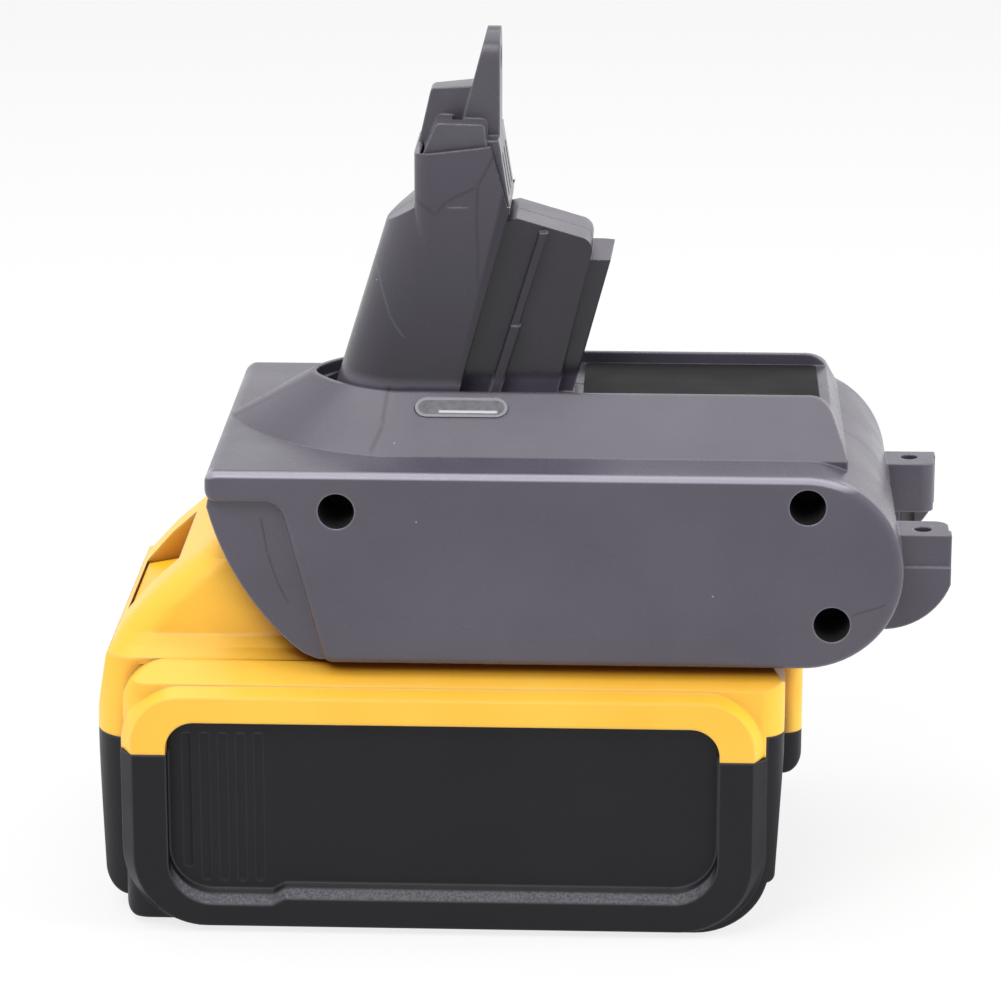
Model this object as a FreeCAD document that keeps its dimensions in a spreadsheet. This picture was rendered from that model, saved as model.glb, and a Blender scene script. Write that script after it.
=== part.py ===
import FreeCAD, Part
import math
import os
import Sketcher

# Vacuum cleaner battery: a grey adapter, which plugs into the vacuum's handle, on a slide-in tool pack.
# Millimetres. X runs along the pack, from its release end (-X) to the terminal end (+X).
# Y runs across, and the camera of the photograph stands at -Y. Z is up, with 0 at the pack's flat bottom.
# The adapter stays still, and the pack slides out of it towards -X.

SIZES = {
    # Adapter: the grey base with its two side plates
    "deck_half": 34.0,
    "deck_top": 75.0,
    "adapter_bottom": 43.7,
    "adapter_left": -48.5,
    "round_end_x": 44.65,
    "lip_height": 5.3,
    "notch_top_x": -36.95,
    "notch_foot_x": -30.2,
    "notch_round": 3.0,
    "plate_round": 2.0,
    "plate_edge": 1.5,
    "cheek_half": 31.8,
    "cheek_wall": 3.8,
    "nose_mid_x": -42.05,
    "nose_mid_z": 54.3,
    "nose_low_x": -35.2,
    "nose_low_z": 46.2,
    "parting_gap": 0.16,
    # Adapter: the raised mound on the deck, with the recess along its top
    "mound_rise": 7.6,
    "mound_round": 4.0,
    "mound_foot_half": 24.4,
    "mound_rim_half": 13.7,
    "mound_foot_left": -47.6,
    "mound_rim_left": -34.4,
    "mound_foot_right": 51.6,
    "mound_rim_right": 48.5,
    "recess_land": 0.8,
    "recess_depth": 2.0,
    "well_depth": 5.0,
    "well_right": -20.0,
    # Adapter: the channel that takes the pack's rails
    "ledge_top": 51.2,
    "rail_fit": 0.5,
    "channel_end": 44.4,
    "mouth_end": -26.7,
    "mouth_fit": 0.8,
    "catch_height": 2.9,
    "catch_half": 7.0,
    # Adapter: the chamber for its circuit board
    "chamber_left": -23.0,
    "chamber_right": 40.0,
    "chamber_half": 29.0,
    "chamber_low": 62.6,
    "chamber_top": 72.5,
    "board_fit": 0.3,
    "board_thick": 1.6,
    "board_lift": 1.6,
    # Adapter: the leaning post that goes up into the handle
    "post_foot_z": 76.5,
    "post_top_z": 112.0,
    "post_foot_front": -31.65,
    "post_top_front": -20.7,
    "post_foot_rear": -11.5,
    "post_top_rear": -1.8,
    "post_foot_half": 12.0,
    "post_top_half": 10.7,
    "post_nose": 13.0,
    "shoulder_low_z": 107.9,
    "neck_front": -17.05,
    "neck_half": 10.7,
    "neck_round": 3.0,
    "neck_wall": 1.0,
    "neck_front_top": 120.2,
    "neck_rear_top": 121.7,
    "neck_rear_x": -4.9,
    "post_bore_half": 8.0,
    "post_wall": 2.6,
    # Adapter: the block and the guide rail behind the post
    "block_half": 7.5,
    "block_top_x": 11.5,
    "block_top_z": 106.0,
    "block_foot_x": 5.6,
    "block_lean_top": 109.9,
    "block_round": 2.2,
    "guide_half": 5.0,
    "guide_reach": 2.45,
    "guide_bevel": 3.0,
    "rib_width": 1.4,
    "rib_proud": 1.8,
    "rib_top_x": 2.75,
    "rib_foot_x": -6.4,
    # Adapter: the terminal carrier in the neck
    "carrier_half": 9.5,
    "carrier_foot": 104.0,
    "cap_top": 125.2,
    "spine_half": 3.6,
    "spine_top": 129.4,
    "tongue_rise": 9.6,
    "tongue_radius": 5.0,
    "tongue_back": -3.65,
    "tongue_tip_thick": 2.0,
    "tongue_root_thick": 4.6,
    "tongue_hole_radius": 2.1,
    "carrier_knee_z": 122.3,
    "carrier_slope_foot_x": -1.9,
    "carrier_slope_foot_z": 111.3,
    "slot_width": 1.8,
    "slot_pitch": 5.0,
    "slot_low": 112.8,
    "slot_high": 119.6,
    "contact_thick": 0.8,
    # Adapter: ears, screws and the light
    "ear_right": 68.2,
    "ear_outer": 24.3,
    "ear_inner": 16.2,
    "ear_wall": 3.0,
    "ear_top": 63.0,
    "ear_cap": 8.3,
    "ear_low": 47.6,
    "ear_step": 0.4,
    "ear_step_z": 5.2,
    "ear_hole_radius": 1.45,
    "ear_hole_x": 63.8,
    "ear_hole_y": 20.6,
    "screw_left_x": -27.95,
    "screw_left_z": 68.8,
    "screw_right_x": 45.15,
    "screw_right_z": 70.3,
    "screw_low_x": 49.25,
    "screw_low_z": 51.3,
    "screw_bore_radius": 2.85,
    "screw_seat": -20.0,
    "screw_head_radius": 2.6,
    "screw_head_height": 2.2,
    "screw_radius": 1.45,
    "screw_end": 14.0,
    "screw_fit": 0.1,
    "lens_x": -9.3,
    "lens_y": -16.2,
    "lens_length": 14.7,
    "lens_width": 3.9,
    "lens_depth": 5.0,
    "lamp_room_near": 3.6,
    "lamp_room_far": 6.0,
    "lamp_x": 3.2,
    "lamp_y": 3.4,
    "lens_fit": 0.1,
    "lens_proud": 0.15,
    "label_left": 9.8,
    "label_right": 47.6,
    "label_half": 12.2,
    "label_thick": 0.3,
    # Adapter: the blades that go into the pack's terminals
    "blade_thick": 0.8,
    "blade_low": 46.5,
    "blade_high": 53.0,
    "blade_tip": 24.0,
    "blade_pitch": 6.0,
    "blade_holder_left": 39.0,
    "blade_holder_half": 19.0,
    "blade_holder_low": 44.4,
    "lead_radius": 1.1,
    "lead_foot_in": 7.5,
    "lead_end_in": 6.2,
    "lead_spread": 3.4,
    # Adapter: what stands on its board
    "inductor_radius": 6.5,
    "inductor_bore": 2.5,
    "inductor_height": 5.5,
    "inductor_x": 8.0,
    "inductor_y": 14.0,
    "can_radius": 3.2,
    "can_height": 6.2,
    "can_x": 22.0,
    "can_y": 16.0,
    "can_pitch": 9.0,
    "transistor_x": 4.0,
    "transistor_y": -20.0,
    "transistor_length": 6.5,
    "transistor_width": 7.0,
    "transistor_height": 2.3,
    "chip_side": 6.0,
    "chip_height": 1.8,
    "chip_first_x": -17.0,
    "chip_pitch": 13.0,
    "chip_y": 8.0,
    # Pack: outside of the two housings
    "pack_left": -67.3,
    "pack_shoulder_left": -62.3,
    "pack_right": 42.3,
    "pack_half": 35.5,
    "pack_end_half": 30.5,
    "seam_z": 29.6,
    "pack_top": 43.2,
    "pack_draft": 1.2,
    "pack_corner": 4.0,
    "end_low": 3.0,
    "end_low_round": 4.0,
    "foot_round": 2.0,
    "foot_left_z": 1.2,
    "foot_left_x": -52.0,
    "end_step_z": 8.6,
    "end_lip_z": 33.0,
    "end_corner": 7.0,
    "bumper_proud": 2.5,
    "bumper_inset": 2.0,
    "main_round": 7.0,
    "bumper_root": 1.0,
    "bumper_step": 0.3,
    "bevel_face_z": 39.2,
    "bevel_reach": 7.0,
    "bumper_left": -62.4,
    "bumper_right": 39.5,
    "bumper_low_round": 13.5,
    "bumper_top_round": 10.0,
    "panel_left": -54.9,
    "panel_right": 32.0,
    "panel_top": 35.0,
    "panel_low": 5.6,
    "panel_ledge": 2.0,
    "panel_step": 1.1,
    "panel_step_x": -37.5,
    "panel_round": 7.0,
    "panel_top_round": 4.6,
    "flute_first_x": -51.9,
    "flute_pitch": 2.85,
    "flute_radius": 1.3,
    "flute_depth": 0.25,
    "snout_right": 45.6,
    "snout_half": 18.0,
    "snout_low": 20.8,
    "snout_seam": 27.5,
    "snout_round": 3.0,
    "housing_wall": 2.5,
    "deck_wall": 2.2,
    "seam_gap": 0.1,
    # Pack: the hump at the release end and the rails
    "end_knee_x": -66.9,
    "end_knee_z": 34.0,
    "end_bend_x": -65.9,
    "end_bend_z": 39.5,
    "hump_top": 60.2,
    "hump_foot_x": -64.6,
    "hump_peak_x": -48.4,
    "hump_right": -28.0,
    "hump_top_half": 23.5,
    "hump_foot_half": 27.0,
    "hump_corner": 6.0,
    "hump_peak_corner": 5.0,
    "hump_edge": 2.6,
    "neck_rail_half": 22.5,
    "head_rail_half": 26.5,
    "head_rail_low": 51.7,
    "rail_top": 58.0,
    "rail_right": 37.5,
    "rail_bore_half": 20.0,
    "rail_wall": 2.4,
    "rail_room_left": -32.1,
    # Pack: the release button with its latch tooth
    "button_half": 12.7,
    "button_fit": 0.3,
    "button_cheek": 2.0,
    "window_low": 45.7,
    "window_top": 54.3,
    "scoop_lip_x": -63.3,
    "scoop_lip_z": 45.2,
    "scoop_back_x": -55.6,
    "scoop_back_z": 46.7,
    "scoop_top_x": -53.9,
    "arm_top": 54.0,
    "arm_low": 50.0,
    "button_travel": 4.0,
    "tooth_left": -44.6,
    "tooth_right": -40.6,
    "tooth_half": 6.0,
    "tooth_top": 63.0,
    "spring_radius": 3.0,
    "spring_x": -46.5,
    "spring_turns": 3,
    "spring_wire_radius": 0.35,
    "hump_swell": 1.7,
    "hump_flare": 3.4,
    "hump_flare_z": 46.0,
    "retainer_left": -52.4,
    "retainer_right": -36.1,
    "retainer_half": 25.8,
    "retainer_top": 42.1,
    # Pack: cells and what holds them
    "cell_radius": 9.2,
    "cell_pitch": 18.9,
    "cell_first_x": -46.5,
    "cell_end_room": 0.5,
    "cell_low_z": 11.9,
    "cell_row_pitch": 19.1,
    "cell_fit": 0.1,
    "holder_depth": 8.0,
    "holder_top": 40.7,
    "holder_left": -57.2,
    "strip_thick": 0.2,
    "strip_width": 7.0,
    "tab_end": 17.0,
    # Pack: terminals, boards, gauge and screws
    "terminal_left": 18.3,
    "terminal_half": 18.6,
    "terminal_slot": 3.0,
    "terminal_slot_left": 22.0,
    "clip_thick": 0.5,
    "clip_fit": 0.15,
    "gauge_z": 11.5,
    "gauge_window_length": 18.0,
    "gauge_window_height": 5.0,
    "gauge_window_y": -5.0,
    "gauge_button_y": 11.5,
    "gauge_button_radius": 2.8,
    "gauge_travel_room": 1.0,
    "gauge_board_half": 18.0,
    "gauge_board_top": 18.0,
    "screw_inset": 3.4,
    "screw_snout_x": 42.9,
    "screw_snout_y": 12.0,
    "pack_screw_seat": 22.8,
    "pack_screw_length": 14.0,
    "pack_screw_radius": 1.1,
    "pack_head_radius": 1.5,
    "pack_head_height": 1.6,
    "pack_boss_radius": 2.8,
}

# Sizes that follow from the driving ones
RELATED = {
    "mound_top": "deck_top + mound_rise",
    "tongue_top": "spine_top + tongue_rise",
    "bumper_half": "pack_half + bumper_proud",
    "cell_half": "pack_half - housing_wall - cell_end_room",
    "screw_corner_x": "pack_shoulder_left + screw_inset",
    "screw_corner_y": "pack_half - screw_inset",
    "cell_last_x": "cell_first_x + 4 * cell_pitch",
    "hump_room_right": "hump_right - rail_wall",
}

DOC = FreeCAD.newDocument("VacuumBattery")
SHEET = DOC.addObject("Spreadsheet::Sheet", "Sizes")
NODES = {}
TINY = 0.02


class Size:
    """A length that knows its value and the sheet formula that gives it."""

    def __init__(self, value, formula, bound=True):
        self.value = float(value)
        self.formula = formula
        self.bound = bound

    def joined(self, sign, other, value):
        return Size(value, "(%s %s %s)" % (self.formula, sign, other.formula), self.bound or other.bound)

    def __add__(self, other):
        other = size(other)
        return self.joined("+", other, self.value + other.value)

    def __sub__(self, other):
        other = size(other)
        return self.joined("-", other, self.value - other.value)

    def __mul__(self, other):
        other = size(other)
        return self.joined("*", other, self.value * other.value)

    def __truediv__(self, other):
        other = size(other)
        return self.joined("/", other, self.value / other.value)

    def __neg__(self):
        return self * -1.0

    def __radd__(self, other):
        return size(other) + self

    def __rsub__(self, other):
        return size(other) - self

    def __rmul__(self, other):
        return size(other) * self


def size(value):
    """Turns a plain number into a Size, and leaves a Size as it is."""
    if isinstance(value, Size):
        return value
    return Size(value, "(%.6f)" % value, False)


class Sheet:
    """Gives each driving dimension as a Size, by its name."""

    def __getattr__(self, name):
        return Size(SHEET.get(name), "Sizes." + name)


D = Sheet()


def fill_sheet():
    """Writes the driving dimensions into the sheet, each with its own alias."""
    rows = [(name, str(value)) for name, value in SIZES.items()]
    rows += [(name, "=" + formula) for name, formula in RELATED.items()]
    for row, (name, content) in enumerate(rows, start=1):
        SHEET.set("A%d" % row, name)
        SHEET.set("B%d" % row, content)
        SHEET.setAlias("B%d" % row, name)
    DOC.recompute()


def bind(thing, path, length):
    """Sets one property of an object and ties it to the sheet."""
    length = size(length)
    if length.bound:
        thing.setExpression(path, length.formula)
    return length.value


# Outlines

class Corner:
    """A corner of an outline, sharp or rounded, or a point that an arc passes through."""

    def __init__(self, x, y, radius=None, on_arc=False):
        self.x = size(x)
        self.y = size(y)
        self.radius = None if radius is None else size(radius)
        self.on_arc = on_arc

    def point(self):
        return FreeCAD.Vector(self.x.value, self.y.value, 0)


class Disc:
    """A full circle."""

    def __init__(self, x, y, radius):
        self.x = size(x)
        self.y = size(y)
        self.radius = size(radius)


def at(x, y, radius=None):
    return Corner(x, y, radius)


def through(x, y):
    return Corner(x, y, on_arc=True)


def rectangle(x_low, x_high, y_low, y_high, radius=None):
    return [at(x_low, y_low, radius), at(x_high, y_low, radius), at(x_high, y_high, radius), at(x_low, y_high, radius)]


def slot(x, y, length, width):
    """A stadium with its long side along x."""
    straight = (length - width) / 2
    half = width / 2
    return [at(x - straight, y - half), at(x + straight, y - half), through(x + straight + half, y),
            at(x + straight, y + half), at(x - straight, y + half), through(x - straight - half, y)]


def flipped(corners):
    """The outline's other half: the same corners mirrored across y = 0, in reverse order."""
    return [Corner(c.x, -c.y, c.radius, c.on_arc) for c in reversed(corners)]


def turn(first, second):
    return first.x * second.y - first.y * second.x


def arc_between(centre, start, end, anticlockwise):
    """An arc of a sketch, with the numbers of its start and end in the direction of travel."""
    circle = Part.Circle(centre, FreeCAD.Vector(0, 0, 1), (start - centre).Length)
    from_angle = math.atan2(start.y - centre.y, start.x - centre.x)
    to_angle = math.atan2(end.y - centre.y, end.x - centre.x)
    if anticlockwise:
        return Part.ArcOfCircle(circle, from_angle, to_angle), 1, 2
    return Part.ArcOfCircle(circle, to_angle, from_angle), 2, 1


def centre_of(first, middle, last):
    """The centre of the circle through three points."""
    a, b = middle - first, last - first
    cross = 2 * turn(a, b)
    x = (b.y * a.dot(a) - a.y * b.dot(b)) / cross
    y = (a.x * b.dot(b) - b.x * a.dot(a)) / cross
    return first + FreeCAD.Vector(x, y, 0)


class Drawing:
    """Puts outlines into one sketch and ties every corner and radius to the sheet."""

    def __init__(self, sketch):
        self.sketch = sketch

    def tie(self, kind, length, *ends):
        index = self.sketch.addConstraint(Sketcher.Constraint(kind, *ends, length.value))
        if length.bound:
            self.sketch.setExpression("Constraints[%d]" % index, length.formula)

    def join(self, kind, *ends):
        self.sketch.addConstraint(Sketcher.Constraint(kind, *ends))

    def place(self, corner, geometry, end):
        for kind, length, axis in (("DistanceX", corner.x, -2), ("DistanceY", corner.y, -1)):
            if length.value == 0 and not length.bound:
                self.join("PointOnObject", geometry, end, axis)
            else:
                self.tie(kind, length, -1, 1, geometry, end)

    def disc(self, disc):
        centre = FreeCAD.Vector(disc.x.value, disc.y.value, 0)
        circle = Part.Circle(centre, FreeCAD.Vector(0, 0, 1), disc.radius.value)
        geometry = self.sketch.addGeometry(circle, False)
        self.place(disc, geometry, 3)
        self.tie("Radius", disc.radius, geometry)

    def loop(self, outline):
        corners = [c for c in outline if not c.on_arc]
        middles = {}
        for index, corner in enumerate(outline):
            if corner.on_arc:
                middles[corners.index(outline[index - 1])] = corner
        count = len(corners)
        trims = [self.trim(corners, index) for index in range(count)]
        rounds = []
        runs = []
        for index in range(count):
            rounds.append(self.round_corner(corners[index], trims[index]))
            start = trims[index][1]
            end = trims[(index + 1) % count][0]
            runs.append(self.run(start, end, middles.get(index)))
        for index, corner in enumerate(corners):
            before = runs[index - 1]
            after = runs[index]
            if rounds[index] is None:
                self.join("Coincident", before[0], before[2], after[0], after[1])
                self.place(corner, after[0], after[1])
                continue
            arc = rounds[index]
            self.join("Tangent", before[0], before[2], arc[0], arc[1])
            self.join("Tangent", arc[0], arc[2], after[0], after[1])
            self.tie("Radius", corner.radius, arc[0])
            mark = self.sketch.addGeometry(Part.Point(corner.point()), True)
            self.place(corner, mark, 1)
            self.join("PointOnObject", mark, 1, before[0])
            self.join("PointOnObject", mark, 1, after[0])
        for index, corner in middles.items():
            mark = self.sketch.addGeometry(Part.Point(corner.point()), True)
            self.place(corner, mark, 1)
            self.join("PointOnObject", mark, 1, runs[index][0])

    def trim(self, corners, index):
        """Where the rounding of a corner starts and ends, and its centre and sense."""
        here = corners[index].point()
        if corners[index].radius is None:
            return here, here, None, True
        back = corners[index - 1].point() - here
        ahead = corners[(index + 1) % len(corners)].point() - here
        radius = corners[index].radius.value
        half = back.getAngle(ahead) / 2
        back.normalize()
        ahead.normalize()
        middle = (back + ahead).normalize()
        reach = radius / math.tan(half)
        centre = here + middle * (radius / math.sin(half))
        return here + back * reach, here + ahead * reach, centre, turn(back, ahead) < 0

    def round_corner(self, corner, trimmed):
        if corner.radius is None:
            return None
        start, end, centre, anticlockwise = trimmed
        arc, first, last = arc_between(centre, start, end, anticlockwise)
        return self.sketch.addGeometry(arc, False), first, last

    def run(self, start, end, middle):
        if middle is None:
            return self.sketch.addGeometry(Part.LineSegment(start, end), False), 1, 2
        point = middle.point()
        anticlockwise = turn(point - start, end - point) > 0
        arc, first, last = arc_between(centre_of(start, point, end), start, end, anticlockwise)
        return self.sketch.addGeometry(arc, False), first, last


# Bodies

class Piece:
    """One body, built feature by feature from sketches on its own origin planes.

    Planes: XY is drawn as (x, y), XZ as (x, z), and YZ as (y, z).
    """

    def __init__(self, name):
        self.name = name
        self.body = DOC.addObject("PartDesign::Body", name)
        self.count = 0

    def title(self, kind):
        self.count += 1
        return "%s%s%d" % (self.name, kind, self.count)

    def sketch(self, plane, height, loops):
        support = [f for f in self.body.Origin.OriginFeatures if f.Role == plane + "_Plane"][0]
        sketch = self.body.newObject("Sketcher::SketchObject", self.title("Sketch"))
        sketch.AttachmentSupport = [(support, "")]
        sketch.MapMode = "FlatFace"
        sketch.AttachmentOffset = FreeCAD.Placement(FreeCAD.Vector(0, 0, size(height).value), FreeCAD.Rotation())
        bind(sketch, "AttachmentOffset.Base.z", height)
        drawing = Drawing(sketch)
        for loop in loops:
            if isinstance(loop, Disc):
                drawing.disc(loop)
            else:
                drawing.loop(loop)
        return sketch

    def slab(self, kind, plane, low, high, loops):
        """A pad or pocket of the loops between two heights along the plane's axis."""
        height = -size(high) if plane == "XZ" else size(low)
        sketch = self.sketch(plane, height, loops)
        feature = self.body.newObject("PartDesign::" + kind, self.title(kind))
        feature.Profile = sketch
        feature.Length = bind(feature, "Length", size(high) - size(low))
        feature.Reversed = kind == "Pocket"
        return feature

    def pad(self, plane, low, high, *loops):
        return self.slab("Pad", plane, low, high, loops)

    def pocket(self, plane, low, high, *loops):
        before = self.volume()
        feature = self.slab("Pocket", plane, low, high, loops)
        if self.volume() > before - TINY:
            raise RuntimeError("%s cuts nothing" % feature.Name)
        return feature

    def loft(self, plane, *levels):
        """A solid through several outlines of the same make, each given as (height, outline)."""
        sketches = [self.sketch(plane, height, outline if isinstance(outline[0], Disc) else [outline])
                    for height, outline in levels]
        feature = self.body.newObject("PartDesign::AdditiveLoft", self.title("Loft"))
        feature.Profile = sketches[0]
        feature.Sections = sketches[1:]
        feature.Ruled = True
        return feature

    def volume(self):
        DOC.recompute()
        return self.body.Shape.Volume

    def dress(self, kind, path, length, test):
        DOC.recompute()
        tip = self.body.Tip
        chosen = ["Edge%d" % (i + 1) for i, edge in enumerate(tip.Shape.Edges) if test(edge)]
        if not chosen:
            raise RuntimeError("%s: no edge to work on" % self.name)
        feature = self.body.newObject("PartDesign::" + kind, self.title(kind))
        feature.Base = (tip, chosen)
        setattr(feature, path, bind(feature, path, length))
        DOC.recompute()
        if "Invalid" in feature.State:
            raise RuntimeError("%s can't be made on %s" % (feature.Name, chosen))
        return feature

    def fillet(self, radius, test):
        return self.dress("Fillet", "Radius", radius, test)

    def chamfer(self, length, test):
        return self.dress("Chamfer", "Size", length, test)


def lies_at(edge, axis, place, slack=TINY):
    """Whether an edge lies in the plane where the axis has this value."""
    box = edge.BoundBox
    low = getattr(box, axis + "Min")
    high = getattr(box, axis + "Max")
    value = size(place).value
    return abs(low - value) < slack and abs(high - value) < slack


def runs_along(edge, axis):
    """Whether an edge is straight along the axis."""
    box = edge.BoundBox
    return all(getattr(box, other + "Length") < TINY for other in "XYZ" if other != axis)


# Primitives and booleans

def part(kind, name):
    return DOC.addObject("Part::" + kind, name)


def put(thing, x, y, z):
    """Places an object's base and ties it to the sheet."""
    thing.Placement.Base = FreeCAD.Vector(size(x).value, size(y).value, size(z).value)
    bind(thing, "Placement.Base.x", x)
    bind(thing, "Placement.Base.y", y)
    bind(thing, "Placement.Base.z", z)
    return thing


def box(name, x_low, x_high, y_low, y_high, z_low, z_high):
    thing = part("Box", name)
    thing.Length = bind(thing, "Length", size(x_high) - size(x_low))
    thing.Width = bind(thing, "Width", size(y_high) - size(y_low))
    thing.Height = bind(thing, "Height", size(z_high) - size(z_low))
    return put(thing, x_low, y_low, z_low)


TURNS = {
    "X": FreeCAD.Rotation(FreeCAD.Vector(0, 1, 0), 90),
    "Y": FreeCAD.Rotation(FreeCAD.Vector(1, 0, 0), -90),
    "Z": FreeCAD.Rotation(),
}


def rod(name, axis, radius, length, x, y, z):
    """A round bar from the given point, along the axis."""
    thing = part("Cylinder", name)
    thing.Radius = bind(thing, "Radius", radius)
    thing.Height = bind(thing, "Height", length)
    thing.Placement.Rotation = TURNS[axis]
    return put(thing, x, y, z)


def source(thing):
    return thing.body if isinstance(thing, Piece) else thing


def cut(name, base, *tools):
    tool = source(tools[0]) if len(tools) == 1 else fuse(name + "Tools", *tools)
    thing = part("Cut", name)
    thing.Base = source(base)
    thing.Tool = tool
    thing.Refine = True
    return thing


def fuse(name, *things):
    thing = part("MultiFuse", name)
    thing.Shapes = [source(t) for t in things]
    thing.Refine = True
    return thing


def common(name, *things):
    thing = part("MultiCommon", name)
    thing.Shapes = [source(t) for t in things]
    thing.Refine = True
    return thing


def group(name, things):
    """Separate solids of the same kind, kept together in one sub-part."""
    thing = part("Compound", name)
    thing.Links = [source(t) for t in things]
    return thing


def mirrored(name, thing, axis="Y"):
    """A copy on the other side of the plane where the axis is 0."""
    copy = part("Mirroring", name)
    copy.Source = source(thing)
    copy.Base = FreeCAD.Vector(0, 0, 0)
    copy.Normal = FreeCAD.Vector(*(1.0 if letter == axis else 0.0 for letter in "XYZ"))
    return copy


def node(name, thing):
    """Names a finished sub-part, which gets a file of its own."""
    thing = source(thing)
    thing.Label = name
    NODES[name] = thing
    return thing


# Adapter housing

def lean(x_low, z_low, x_high, z_high, z):
    """The x of a leaning line at height z."""
    return x_low + (x_high - x_low) * (z - z_low) / (z_high - z_low)


def mound_outline(left, half, right, tip):
    """The mound's plan: straight sides, an open right end and a pointed, softly rounded left end."""
    side = left + half * 1.06
    bulge_x = left + half * 0.37
    bulge_y = half * 0.62
    upper = [at(right, -half), at(right, half), at(side, half), through(bulge_x, bulge_y), at(left + tip * 0.3, tip)]
    lower = [at(left + tip * 0.3, -tip), through(bulge_x, -bulge_y), at(side, -half)]
    return upper + [through(left, 0)] + lower


def adapter_base():
    """The base: two side plates with round ends, the curved nose between them, and its hollows."""
    base = Piece("AdapterBase")
    radius = (D.deck_top - D.adapter_bottom) / 2
    lip_low = D.deck_top - D.lip_height
    plate = [
        at(D.adapter_left, D.deck_top, D.plate_round),
        at(D.adapter_left, lip_low, D.plate_round),
        at(D.notch_top_x, lip_low, D.notch_round),
        at(D.notch_foot_x, D.adapter_bottom, D.plate_round),
        at(D.round_end_x, D.adapter_bottom),
        through(D.round_end_x + radius, D.adapter_bottom + radius),
        at(D.round_end_x, D.deck_top),
    ]
    base.pad("XZ", -D.deck_half, D.deck_half, plate)
    base.fillet(D.plate_edge, lambda e: lies_at(e, "Y", D.deck_half) or lies_at(e, "Y", -D.deck_half))
    nose = [
        at(D.adapter_left + 0.5, lip_low + 1),
        at(D.adapter_left + 0.1, lip_low - 1),
        through(D.nose_mid_x, D.nose_mid_z),
        at(D.nose_low_x, D.nose_low_z),
        at(D.nose_low_x + 1.8, D.nose_low_z - 1.4),
        at(D.nose_low_x + 4.0, D.nose_low_z - 2.3),
        at(D.notch_foot_x + 2, D.nose_low_z - 2.3),
        at(D.notch_foot_x + 2, lip_low + 1),
    ]
    base.pad("XZ", -D.cheek_half, D.cheek_half, nose)
    return base


def adapter_mound():
    """The mound on the deck. Its sides slope from a wide foot to the rim of the recess."""
    mound = Piece("Mound")
    foot = mound_outline(D.mound_foot_left, D.mound_foot_half, D.mound_foot_right, 2.2)
    rim = mound_outline(D.mound_rim_left, D.mound_rim_half, D.mound_rim_right, 3.4)
    mound.loft("XY", (D.deck_top, foot), (D.mound_top, rim))
    mound.pad("XY", D.deck_top - D.lip_height + 1, D.deck_top, foot)
    high = D.mound_top + 2
    start = D.mound_rim_right - D.mound_round * 2
    beyond = D.mound_foot_right + 2
    mound.pocket("XZ", -D.mound_foot_half, D.mound_foot_half, [
        at(start, high), at(start, D.mound_top), at(D.mound_rim_right, D.mound_top, D.mound_round),
        at(D.mound_foot_right, D.deck_top), at(beyond, D.deck_top), at(beyond, high)])
    return mound


def recess_outline():
    half = D.mound_rim_half - D.recess_land
    return mound_outline(D.mound_rim_left + D.recess_land, half, D.mound_foot_right + 2, 3.0)


def channel():
    """The room for the pack's hump, its rails and the latch, open at the bottom and at the left end."""
    room = Piece("Channel")
    left = D.adapter_left - 2
    rail_ceiling = D.rail_top + D.rail_fit
    below = D.adapter_bottom - 2
    cheek = D.cheek_half - D.cheek_wall
    head = D.head_rail_half + D.rail_fit
    throat = D.neck_rail_half + D.rail_fit
    mouth_ceiling = D.hump_top + D.mouth_fit
    room.pad("XY", below, mouth_ceiling, rectangle(left, D.mouth_end, -cheek, cheek))
    flare = D.hump_foot_half + D.hump_flare + D.rail_fit
    room.pad("XY", below, D.hump_flare_z + D.rail_fit, rectangle(left, D.mouth_end, -flare, flare))
    room.pad("XY", D.ledge_top, rail_ceiling, rectangle(D.mouth_end - 1, D.channel_end, -head, head))
    room.pad("XY", below, D.ledge_top + 1, rectangle(D.mouth_end - 1, D.channel_end, -throat, throat))
    room.pad("XY", mouth_ceiling - 1, mouth_ceiling + D.catch_height,
             rectangle(left, D.tooth_right + 1, -D.catch_half, D.catch_half))
    return room


def board_chamber():
    """The closed room above the channel, with ways to the blades, the post and the light."""
    room = Piece("Chamber")
    half = D.chamber_half
    room.pad("XY", D.chamber_low, D.chamber_top, rectangle(D.chamber_left, D.chamber_right, -half, half))
    room.pad("XY", D.rail_top - 1, D.chamber_low + 1, rectangle(D.chamber_right - 5, D.chamber_right, -9, 9))
    light_half = D.lens_length / 2 + 2
    room.pad("XY", D.chamber_top - 1, D.deck_top + 1,
             rectangle(D.lens_x - light_half, D.lens_x + light_half, D.lens_y - D.lamp_room_near, D.lens_y + D.lamp_room_far))
    return room


def post_x(z, foot, top):
    return lean(foot, D.post_foot_z, top, D.post_top_z, z)


def post_shell():
    """The hollow post: a leaning round-fronted shell, the slanting shoulder and the upright neck."""
    post = Piece("Post")

    def section(front, rear, half):
        nose = front + D.post_nose
        return [at(rear, -half), at(rear, half), at(nose, half), through(front, 0), at(nose, -half)]

    foot = section(D.post_foot_front, D.post_foot_rear, D.post_foot_half)
    top = section(D.post_top_front, D.post_top_rear, D.post_top_half)
    post.loft("XY", (D.post_foot_z, foot), (D.post_top_z, top))
    roof_high = D.shoulder_low_z + 3.5
    front = post_x(D.shoulder_low_z, D.post_foot_front, D.post_top_front)
    wide = D.post_foot_half + 8
    post.pocket("XZ", -wide, wide, [at(front - 8, D.shoulder_low_z - 5.6), at(D.neck_front, roof_high),
                                at(D.neck_front, D.post_top_z + 5), at(front - 8, D.post_top_z + 5)])
    return post


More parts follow.
